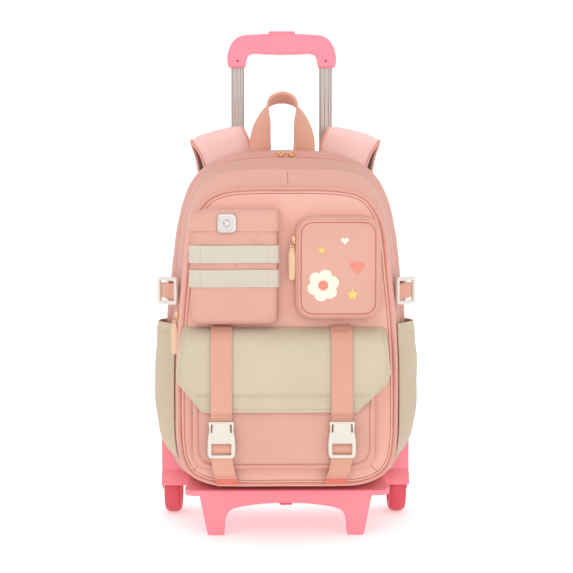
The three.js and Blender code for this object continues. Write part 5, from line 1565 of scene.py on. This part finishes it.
def shoulder_frame(side, share):
    """Middle line, across, off and size of a shoulder strap at shares of its table."""
    turn = SIDES[side]
    half = bag_loop.points[:len(bag_loop.points) // 2]
    upper = half[half[:, 1] > BAG_BOTTOM + BAG_HEIGHT / 2]
    order = np.argsort(upper[:, 0])
    base = np.interp(SHOULDER_SPREAD, upper[order, 0], upper[order, 1])
    hang = SHOULDER_DROP / 6.4
    points = []
    for up, back, splay, tilt, wide, thick in shoulder_rows:
        height = base + (up * SHOULDER_RISE if up > 0 else up * hang)
        points.append((turn * (SHOULDER_SPREAD + splay * SHOULDER_SPLAY), -back * SHOULDER_BACK, height))
    steps = len(points) - 1
    curve = smooth_curve(points, per=40)
    dense = np.linspace(0, steps, len(curve))
    at = share * steps
    middle = np.stack([np.interp(at, dense, curve[:, k]) for k in range(3)], axis=-1)
    run = np.gradient(curve, axis=0)
    run = np.stack([np.interp(at, dense, run[:, k]) for k in range(3)], axis=-1)
    run /= np.linalg.norm(run, axis=1)[:, None]
    index = np.arange(steps + 1)
    tilt = np.radians(np.interp(at, index, [r[3] for r in shoulder_rows]) * SHOULDER_TILT)
    wide = np.interp(at, index, [r[4] for r in shoulder_rows]) * SHOULDER_WIDTH
    thick = np.interp(at, index, [r[5] for r in shoulder_rows]) * SHOULDER_THICK
    across = np.column_stack([np.cos(tilt), np.zeros(len(at)), -turn * np.sin(tilt)])
    off = -np.cross(across, run)
    off /= np.linalg.norm(off, axis=1)[:, None]
    return middle, across, off, wide, thick


def shoulder_pad(side, name, outer, look, *nodes):
    """One face of a padded strap, from edge to edge: the cloth outside or the mesh beneath."""
    facing = 1 if outer else -1

    def place(u, v):
        middle, across, off, wide, thick = shoulder_frame(side, v)
        s = (u * 2 - 1) * facing
        bulge = (1 - np.abs(s) ** 3.4) ** 0.75
        seam = 0.9 * np.exp(-((np.abs(s) - 0.83) / 0.035) ** 2)
        points = middle + across * (s * wide / 2)[:, None]
        soft = 0.8 * rough(points, 34, 31) + 0.35 * rough(points, 12, 33)
        lift = facing * (bulge * thick / 2 - seam) + soft * bulge
        return points + off * lift[:, None]

    def weave_at(u, v):
        return np.column_stack([u * 82, v * 470])

    piece = cloth_piece(name, 48, 240, place, (1, 1), wall=0.9, weave_at=weave_at)
    dress(piece, look, "rose_fabric", "chassis", *nodes)
    return piece


def shoulder_edge(side, name, end):
    """The bound edge of a shoulder strap, on one of its two long sides."""
    share = np.linspace(0, 1, 200)
    middle, across, off, wide, thick = shoulder_frame(side, share)
    points = middle + across * (end * (wide / 2 - 0.4))[:, None]
    piece = rod(name, 2.3, points, sides=10)
    return dress(piece, ROSE_PIPING, "rose_fabric", "chassis")


for side in SIDES:
    # The strap's outer cloth takes the lighter copy of the rose cloth: painted light from above.
    shoulder_pad(side, f"shoulder_{side}_cloth", True, ROSE_SHOULDER_TOP_LIT, f"shoulder_strap_{side}")
    shoulder_pad(side, f"shoulder_{side}_mesh", False, MESH)
    shoulder_edge(side, f"shoulder_{side}_edge_inner", -1)
    shoulder_edge(side, f"shoulder_{side}_edge_outer", 1)
    belt = span(f"shoulder_webbing_{side}")
    turn = SIDES[side]
    first, last = (belt["left"], belt["right"]) if turn > 0 else (belt["right"], belt["left"])
    upper_x = first + turn * BELT_WIDTH / 2
    lower_x = last - turn * BELT_WIDTH / 2
    belt_path = smooth_curve([
        (upper_x, belt["back"] + 1.2, belt["top"] + 8), (upper_x, belt["back"] + 1.2, belt["top"] - 2),
        ((upper_x + lower_x) / 2, (belt["back"] + belt["front"]) / 2 - 0.5,
        (belt["top"] + belt["bottom"]) / 2),
        (lower_x, belt["front"] - 1.2, belt["bottom"] + 1),
    ])
    strap(f"shoulder_belt_{side}", belt_path, (1, 0, 0), BELT_WIDTH, 1.6, CORAL, "coral_webbing",
        nodes=[f"shoulder_webbing_{side}"], steps=40)


# Padded back panel with upright channels, and its rim

PAD_THICK = 10.0
PAD_EDGE = 0.16
CHANNEL_SIDE = 48.0
CHANNEL_LEVELS = (170.0, 250.0, 330.0, 410.0)


def back_point(u, v):
    """v runs from the rim by the bag (0) round the edge and over the quilted face to its middle (1)."""
    outline = bag_loop.moved(-RIM_TUCK)
    middle = outline.points.mean(axis=0)
    turn = np.clip(v / PAD_EDGE, 0, 1) * math.pi / 2
    face = np.clip((v - PAD_EDGE) / (1 - PAD_EDGE), 0, 1)
    inwards = 5.0 * (1 - np.cos(turn))
    ring = outline.at(u) - outline.outward(u) * inwards[:, None]
    ring = mix(ring, middle, face[:, None])
    depth = PAD_THICK - 0.8 - (PAD_THICK - 1.6) * np.sin(turn)
    x, z = ring[:, 0], ring[:, 1]
    to_rim = face * 130
    channel = np.zeros(len(x))
    inside = np.clip((to_rim - 16) / 10, 0, 1)
    for line in (-CHANNEL_SIDE, CHANNEL_SIDE):
        channel += 3.0 * np.exp(-((x - line) / 4.5) ** 2) * inside
    for level in CHANNEL_LEVELS:
        bowed = level + 6 * np.cos(x / CHANNEL_SIDE * math.pi / 2)
        between = (np.abs(x) < CHANNEL_SIDE) * inside
        channel += 2.0 * np.exp(-((z - bowed) / 4.0) ** 2) * between
    rim_seam = 2.4 * np.exp(-((to_rim - 13) / 3.0) ** 2)
    depth = depth + channel + rim_seam * (face > 0)
    return np.column_stack([x, depth, z])


def back_cloth():
    def place(u, v):
        return back_point(1 - u, v)

    def weave_at(u, v):
        return back_point(1 - u, v)[:, [0, 2]]

    piece = cloth_piece("back_panel_mesh", 300, 90, place, (1, 1), wall=1.2, ring=True, weave_at=weave_at)
    dress(piece, BACK_MESH, "rose_fabric", "chassis", "back_panel")


back_cloth()
piping_ring("back_rim_cord", bag_loop.moved(-RIM_TUCK * 0.7), PAD_THICK + 0.2, 2.0)

# Zip sliders and pulls


def turned(piece, degrees_z=0.0, degrees_x=0.0, at=(0, 0, 0)):
    """Turns a piece about a point in millimetres, and leaves its place in its mesh."""
    pivot = Vector(to_frame(at))
    spin = Matrix.Rotation(math.radians(degrees_z), 4, "Z") @ Matrix.Rotation(math.radians(degrees_x), 4, "X")
    piece.matrix_world = Matrix.Translation(pivot) @ spin @ Matrix.Translation(-pivot)
    settle(piece)
    return piece


def slider_parts(name, x, depth, z, wide=9.0, long=13.0, thick=4.6):
    """A zip slider that faces the front, its long way upright: body, bridge and ring."""
    half, up = wide / 2, long / 2
    body = slab(f"{name}_body", corner_loop([
        (x - half * 0.6, z - up, 2), (x + half * 0.6, z - up, 2), (x + half, z + up * 0.1, 2),
        (x + half * 0.8, z + up, 2.4), (x - half * 0.8, z + up, 2.4),
        (x - half, z + up * 0.1, 2)]).points[::12],
        thick * 0.55, depth, 0.7)
    bridge = slab(f"{name}_bridge", rounded_square(wide * 0.34, 1.2, x, z, long * 0.8), thick * 0.45,
        depth + thick * 0.5, 0.6)
    ring = rod(f"{name}_ring", 0.75, [
        (x + 2.2 * math.sin(a), depth + thick * 0.75, z - up * 0.62 - 2.2 * math.cos(a) + 0.6)
        for a in np.linspace(0, 2 * math.pi, 25)[:-1].tolist() + [0.0]], sides=8)
    return [body, bridge, ring]


def pull_parts(name, x, depth, top, long):
    """A leather tab that hangs from its ring, with a round end and a stitched edge."""
    half, thick = 5.0, 2.4
    outline = corner_loop([
        (x - half * 0.82, top - long, half * 0.8), (x + half * 0.82, top - long, half * 0.8),
        (x + half, top - long * 0.35, 2), (x + half * 0.5, top, 1.6), (x - half * 0.5, top, 1.6),
        (x - half, top - long * 0.35, 2)])
    hole = [(x + 1.3 * math.cos(a), top - 3.2 + 1.3 * math.sin(a)) for a in np.linspace(0, 2 * math.pi,
        17)[:-1]]
    tab = slab(f"{name}_tab", outline.points[::10], thick, depth, 0.6, holes=[np.array(hole)])
    seam = outline.moved(-1.5)
    points = seam.at(np.linspace(0.02, 0.98, 90))
    line = np.column_stack([points[:, 0], np.full(90, depth + thick + 0.1), points[:, 1]])
    places, directions = stitch_line(line, 2.2)
    stitches = many_bits(f"{name}_stitches", places, directions, (0.8, 0.22, 0.2))
    return tab, stitches


for side in SIDES:
    x, _, z = centre_of(f"main_slider_{side}")
    parts = slider_parts(f"main_slider_{side}", x, MAIN_ZIP - 2.3, z, wide=10, long=12.5, thick=5)
    for number, part in enumerate(parts):
        turned(part, degrees_x=-62, at=(x, MAIN_ZIP, z))
        dress(part, GOLD, "gold_metal", "chassis")
        if number == 0:
            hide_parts(f"main_slider_{side}")

PULL_TURN = 26.0
for name, slider, pull in (("front", "front_slider", "front_pull"), ("right", "right_slider", "right_pull")):
    _, depth, z = centre_of(slider)
    x = span(slider)["right"]
    parts = slider_parts(f"{name}_zip_slider", x, depth, z)
    for number, part in enumerate(parts):
        turned(part, degrees_z=-90, at=(x, depth, z))
        dress(part, GOLD, "gold_metal", "chassis")
        if number == 0:
            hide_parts(slider)
    tag = span(pull)
    x = centre_of(pull)[0] - 1.5
    tab, stitches = pull_parts(f"{name}_zip_pull", x, depth - 1.2, tag["top"], tag["top"] - tag["bottom"])
    for part, look in ((tab, LEATHER), (stitches, THREAD_CREAM)):
        turned(part, degrees_z=-PULL_TURN, at=(x, depth, z))
        dress(part, look, "pull_leather", "chassis")
    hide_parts(pull)

# Side buckles: a frame of two windows at the front corner, on webbing that runs to the rear seam


SIDE_BUCKLE_TURN = 44


def side_buckle(side):
    turn = SIDES[side]
    x, depth, z = centre_of(f"side_buckle_{side}")
    holes = [rounded_square(11.5, 1.6, x + shift, z, 27.0) for shift in (-8.2, 8.2)]
    frame_piece = slab(f"side_buckle_{side}_frame", rounded_square(38, 5, x, z, 37.0), 4.2, depth - 2.1,
        1.4, holes=holes)
    turned(frame_piece, degrees_z=SIDE_BUCKLE_TURN * turn, at=(x, depth, z))
    dress(frame_piece, IVORY, "ivory_plastic", "chassis", f"side_buckle_{side}")


def side_webbing(side):
    turn = SIDES[side]
    z = centre_of(f"side_strap_{side}")[2]
    buckle_x, buckle_depth, _ = centre_of(f"side_buckle_{side}")
    angle = math.radians(SIDE_BUCKLE_TURN)
    lean = (math.cos(angle), -math.sin(angle))
    off = (math.sin(angle), math.cos(angle))

    def at(along_it, out):
        return (turn * (abs(buckle_x) + lean[0] * along_it + off[0] * out),
            buckle_depth + lean[1] * along_it + off[1] * out, z)

    at_front, at_rear, at_middle = wall_reach([111.0, 15.0, 60.0], [z, z, z])
    points = [
        (turn * (at_front + 1.4), 111.0, z),
        at(-15.5, -2.6), at(-8, 0.6), at(-1.5, 3.2), at(1.5, 3.2), at(8, 0.6), at(15.5, -3.4),
        (turn * (at_middle + 7), 74.0, z), (turn * (at_middle + 3), 50.0, z),
        (turn * (at_rear + 2.2), 15.5, z),
    ]
    return strap(f"side_webbing_{side}", smooth_curve(points), (0, 0, 1), 20.0, 1.6, CORAL, "coral_webbing",
        nodes=[f"side_strap_{side}"], steps=130)


for side in SIDES:
    side_buckle(side)
    side_webbing(side)

# Trolley base: plate, stand with two legs, wheel housings and wheels; the rear wall stays as the CAD piece

tray_box = span("base_tray")
TRAY_LOW = 53.5
TRAY_TOP = tray_box["top"]
TRAY_HALF = 137.5
STAND_FRONT = tray_box["front"] - 1


def plan_plate(name, left, right, back, front_depth, corner, low, high, bevel):
    """A level plate with rounded corners."""
    loop = corner_loop([(left, back, corner), (right, back, corner), (right, front_depth, corner),
        (left, front_depth, corner)])
    plan = loop.points[::6]
    points = np.column_stack([plan[:, 0], plan[:, 1], np.full(len(plan), low)])
    body = extruded(name, points, (0, 0, high - low))
    soften(body, bevel, angle=BEVEL_ANGLE)
    smooth(body, 40)
    return body


plate = plan_plate("base_plate", -TRAY_HALF, TRAY_HALF, tray_box["back"], tray_box["front"], 14, TRAY_LOW,
    TRAY_TOP, 2.2)
dress(plate, PINK, "pink_plastic", "chassis", "base_tray")


STAND_SHIFT = 1.8


def stand_outline():
    top, half, foot = TRAY_LOW + 3, 116.0, 104.5
    foot_in, shoulder, arch = 82.5, 37.0, 43.5
    right = [
        (foot_in, 0), (foot_in - 0.8, 14), (foot_in - 2.6, 25), (foot_in - 7.5, 33), (foot_in - 16, shoulder),
        (foot_in - 42, shoulder + 4.4), (foot_in - 62, arch - 0.4),
    ]
    inner = smooth_curve(np.vstack([right, [(0, arch)], np.array(right)[::-1] * [-1, 1]]), per=6)
    outer = [(-foot, 0), (-half, top), (half, top), (foot, 0)]
    return np.vstack([inner, outer])[::-1] - [STAND_SHIFT, 0]


stand = slab("base_stand", stand_outline(), 26.0, STAND_FRONT - 26.0, 2.2, segments=3)
dress(stand, PINK, "pink_plastic", "chassis")
for turn in (-1, 1):
    name = "l" if turn < 0 else "r"
    gusset = slab(f"base_rib_{name}",
        np.array([(turn * 78.0, 30.0), (turn * 82.0, 30.0), (turn * 82.0, 54.0),
        (turn * 78.0, 54.0)])[::turn],
                  60.0, STAND_FRONT - 80.0, 0.6)
    dress(gusset, PINK, "pink_plastic", "chassis")
boss = slab("base_catch",
    corner_loop([(-9.5, 40.6, 2), (6.5, 40.6, 2), (8, 45.0, 1), (-11, 45.0, 1)]).points[::12], 6.0,
        STAND_FRONT - 8.5, 0.8)
dress(boss, RUBBER, "pink_plastic", "chassis")


WHEEL_RADIUS = 36.0
AXLE_DEPTH = -30.0
WELL_RADIUS = 39.0
ACROSS = (0, math.pi / 2, 0)


def housing_profile():
    """Seen from the side: (depth, height) of a wheel housing, from its front foot round over the top."""
    back, radius = AXLE_DEPTH, 41.4
    low, top = 44.5, 131.0
    wall = -0.9
    start = math.pi - math.asin((low - WHEEL_RADIUS) / radius)
    meet = math.sqrt(radius ** 2 - (abs(back) - abs(wall)) ** 2)
    end = math.pi - math.atan2(meet, abs(back) - abs(wall))
    arc = [(back - radius * math.cos(a), WHEEL_RADIUS + radius * math.sin(a))
        for a in np.linspace(start, end, 14)]
    corner = [(wall, top - 12), (wall - 3, top - 3.4), (wall - 12, top)]
    rear = [(back, top), (back - 24, top - 6), (back - radius + 3, top - 26), (back - radius, 78.0),
        (back - radius, low)]
    return np.array(arc + corner + rear)


def housing(side):
    turn = SIDES[side]
    node = span(f"wheel_housing_{side}")
    inner, outer = sorted((abs(node["left"]), abs(node["right"])))
    profile = housing_profile()
    points = np.column_stack([np.full(len(profile), turn * inner), profile[:, 0], profile[:, 1]])
    body = extruded(f"wheel_guard_{side}", points, (turn * (outer - inner), 0, 0))
    well_inner, well_outer = inner + 8.6, outer - 2.4
    well_middle = [turn * (well_inner + well_outer) / 2, AXLE_DEPTH, WHEEL_RADIUS]
    carve(body, barrel(f"wheel_well_{side}", WELL_RADIUS, well_outer - well_inner, well_middle, ACROSS, 72))
    left, right = sorted((turn * well_inner, turn * well_outer))
    carve(body, block(f"wheel_under_{side}", left, right, AXLE_DEPTH - WELL_RADIUS,
        AXLE_DEPTH + WELL_RADIUS, -5, 45))
    soften(body, 2.6, angle=40)
    smooth(body, 40)
    dress(body, PINK, "pink_plastic", "chassis", f"wheel_housing_{side}")
    cap_middle = [turn * (outer + 0.1), AXLE_DEPTH, WHEEL_RADIUS]
    cap = barrel(f"axle_cap_{side}", 4.4, 1.8, cap_middle, ACROSS, 40)
    soften(cap, 0.5)
    smooth(cap, 40)
    return body, cap


def lathe(name, rows, centre, sides=96):
    """A solid turned about an axis that runs across, from (across, radius) rows."""
    rows = np.asarray(rows, float)
    rows = smooth_rows(rows)
    piece = cloth_piece(name, sides, len(rows) - 1, lambda u, v: turn_rows(u, v, rows, centre), (1, 1),
        wall=0, ring=True)
    face_outwards(piece, merge=True)
    smooth(piece, 35)
    return piece


def smooth_rows(rows, per=4):
    """The rows again, with every stretch cut in a few."""
    out = [rows[0]]
    for a, b in zip(rows[:-1], rows[1:]):
        out += [a + (b - a) * t for t in np.linspace(0, 1, per + 1)[1:]]
    return np.array(out)


def turn_rows(u, v, rows, centre):
    place = np.linspace(0, 1, len(rows))
    across = np.interp(v, place, rows[:, 0])
    radius = np.interp(v, place, rows[:, 1])
    angle = u * 2 * math.pi
    return np.column_stack([centre[0] + across, centre[1] + radius * np.cos(angle),
        centre[2] + radius * np.sin(angle)])


def rounded_profile(points, per=7):
    """Closed (across, radius) profile with its corners rounded by their third value."""
    loop = []
    count = len(points)
    for i, (a, r, round_by) in enumerate(points):
        here = np.array([a, r], float)
        before = np.array(points[i - 1][:2], float)
        after = np.array(points[(i + 1) % count][:2], float)
        if round_by <= 0:
            loop.append(here)
            continue
        enter = here + (before - here) / np.linalg.norm(before - here) * round_by
        leave = here + (after - here) / np.linalg.norm(after - here) * round_by
        for t in np.linspace(0, 1, per):
            loop.append((1 - t) ** 2 * enter + 2 * t * (1 - t) * here + t * t * leave)
    loop.append(loop[0])
    return np.array(loop)


for side in SIDES:
    turn = SIDES[side]
    centre = (centre_of(f"wheel_{side}")[0], AXLE_DEPTH, WHEEL_RADIUS)
    rides_on = "wheel_left" if turn < 0 else "wheel_right"
    body, cap = housing(side)
    dress(cap, PINK_GRIP, "pink_plastic", "chassis", f"axle_{side}")
    tyre = lathe(f"tyre_{side}", rounded_profile([
        (-11, 23.4, 0.8), (-12.4, 25, 1), (-12.4, 30, 4.5), (-8.6, WHEEL_RADIUS, 5.5),
        (8.6, WHEEL_RADIUS, 5.5), (12.4, 30, 4.5),
        (12.4, 25, 1), (11, 23.4, 0.8)]), centre)
    dress(tyre, RUBBER, "wheel_rubber", rides_on, f"wheel_{side}")
    hub = lathe(f"wheel_centre_{side}", rounded_profile([
        (-10.8, 3.4, 0), (-10.8, 9, 1), (-6.5, 10.5, 1.5), (-6.5, 18.5, 1.5), (-9.5, 20.5, 1),
        (-9.5, 23.2, 1),
        (9.5, 23.2, 1), (9.5, 20.5, 1), (6.5, 18.5, 1.5), (6.5, 10.5, 1.5), (10.8, 9, 1), (10.8, 3.4, 0)]),
        centre)
    dress(hub, PINK_GRIP, "pink_plastic", rides_on, f"wheel_hub_{side}")
    spokes = []
    for k in range(5):
        angle = k * 2 * math.pi / 5
        for face in (-1, 1):
            spokes.append((face * 6.9, 14.5 * math.cos(angle), 14.5 * math.sin(angle), math.cos(angle),
            math.sin(angle)))
    ribs = many_bits(f"wheel_spokes_{side}",
        [(centre[0] + a, centre[1] + b, centre[2] + c) for a, b, c, d, e in spokes],
                     [(0, d, e) for a, b, c, d, e in spokes], (5.6, 2.4, 1.7), ups=[(1, 0, 0)] * len(spokes))
    dress(ribs, PINK_GRIP, "pink_plastic", rides_on)

# Telescopic handle: fluted tubes, bracket, grip and button

TUBE_MIDDLE = -34.0


def fluted_tube(name, x, low, high, wide, deep, look, body, node):
    """A tube of flattened section with shallow upright flutes on its front and back."""
    loop = corner_loop([(-wide / 2, -deep / 2, 3), (wide / 2, -deep / 2, 3), (wide / 2, deep / 2, 3),
        (-wide / 2, deep / 2, 3)])
    share = np.arange(145) / 144
    section = loop.at(share)
    out = loop.outward(share)
    flat = np.abs(out[:, 1]) > 0.9
    flute = 0.45 * np.cos(section[:, 0] / wide * 2 * math.pi * 3.5) * flat
    section = section + out * (flute - 0.35)[:, None]

    def place(u, v):
        at = np.clip(np.round(u * 144).astype(int), 0, 144)
        return np.column_stack([x + section[at, 0], TUBE_MIDDLE + section[at, 1], low + (high - low) * v])

    piece = cloth_piece(name, 144, 2, place, (2 * (wide + deep), high - low), wall=0, ring=True)
    face_outwards(piece, fill_ends=True)
    smooth(piece, 40)
    return dress(piece, look, "tube_metal", body, node)


for side in SIDES:
    outer_node = span(f"outer_tube_{side}")
    x = centre_of(f"outer_tube_{side}")[0]
    fluted_tube(f"outer_tube_{side}_metal", x, outer_node["bottom"], outer_node["top"], 24.0, 16.0, TUBE,
        "chassis", f"outer_tube_{side}")
    inner_node = span(f"inner_tube_{side}")
    fluted_tube(f"inner_tube_{side}_metal", x, inner_node["bottom"], inner_node["top"], 19.2, 11.4, TUBE,
        "handle", f"inner_tube_{side}")

bracket_node = span("tube_bracket")
bracket = plan_plate(
    "tube_bracket_body", bracket_node["left"], bracket_node["right"], bracket_node["back"],
    bracket_node["front"], 4.5,
    bracket_node["bottom"], bracket_node["top"], 1.6)
for side in SIDES:
    x = centre_of(f"inner_tube_{side}")[0]
    carve(bracket,
        block(f"bracket_way_{side}", x - 10.4, x + 10.4, TUBE_MIDDLE - 6.6, TUBE_MIDDLE + 6.6, 400, 520))
    outer_node = span(f"outer_tube_{side}")
    carve(bracket,
        block(f"bracket_seat_{side}", x - 12.3, x + 12.3, TUBE_MIDDLE - 8.3, TUBE_MIDDLE + 8.3, 400,
            outer_node["top"] + 0.3))
smooth(bracket, 40)
dress(bracket, PINK, "pink_plastic", "chassis", "tube_bracket")

GRIP_X = centre_of("grip")[0]
GRIP_TOP = 683.5
GRIP_DEEP = 21.0


def grip_outline():
    half = 77.0
    right = [
        (0, 0), (19, -0.1), (40, -1.2), (57, -2.9), (67, -8.5), (73.5, -18.5), (half, -30), (half, -41),
        (half - 1.6, -46.4), (half - 4.5, -48),
    ]
    inside = [(54.2, -48), (51.6, -46.4), (50.8, -42), (48.6, -33), (45.5, -29.6), (40, -27.9), (25, -28.6),
        (0, -29.4)]
    top = smooth_curve(np.array(right), per=5)
    under = smooth_curve(np.array(inside), per=4)
    side_right = np.vstack([top, under])
    left = side_right[1:-1][::-1] * [-1, 1]
    loop = np.vstack([side_right, left])
    return np.column_stack([GRIP_X + loop[:, 0], GRIP_TOP + loop[:, 1]])[::-1]


grip = slab("handle_grip", grip_outline(), GRIP_DEEP, TUBE_MIDDLE - GRIP_DEEP / 2, 8.2, segments=6)
carve(grip, block("grip_button_well", GRIP_X - 19.6, GRIP_X + 19.6, TUBE_MIDDLE - 6.1, TUBE_MIDDLE + 6.1,
    GRIP_TOP - 12, GRIP_TOP + 10))
for side in SIDES:
    inner_node = span(f"inner_tube_{side}")
    x = centre_of(f"inner_tube_{side}")[0]
    carve(grip, block(f"grip_socket_{side}", x - 9.9, x + 9.9, TUBE_MIDDLE - 6.0, TUBE_MIDDLE + 6.0, 600,
        inner_node["top"] + 0.3))
smooth(grip, 40)
dress(grip, PINK_GRIP, "grip_plastic", "handle", "grip")
button_node = span("grip_button")
button = block("handle_button", button_node["left"], button_node["right"], button_node["back"],
    button_node["front"],
               button_node["bottom"], button_node["top"], 1.8, 4)
dress(button, PINK, "pink_plastic", "button", "grip_button")
for side in SIDES:
    x = centre_of(f"inner_tube_{side}")[0]
    screw_middle = [x, TUBE_MIDDLE + GRIP_DEEP / 2 - 0.1, GRIP_TOP - 38.5]
    # Each screw is a flat dark disc just proud of the grip: painted shade for the dimple it sits in.
    screw = barrel(f"grip_screw_{side}", 1.9, 1.2, screw_middle, (math.pi / 2, 0, 0), 24)
    smooth(screw, 40)
    dress(screw, SCREW_DIMPLE_SHADE, "pink_plastic", "handle")

# What is left of the CAD model keeps its shape and takes a finish

kept_looks = {
    "divider_panel": LINING, "rear_wall": PINK, "axle_l": STEEL, "axle_r": STEEL,
}
for node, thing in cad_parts.items():
    if not thing.hide_render:
        thing.data.materials.clear()
        thing.data.materials.append(kept_looks.get(node, IVORY))

place_camera()
light_studio()
lay_floor()
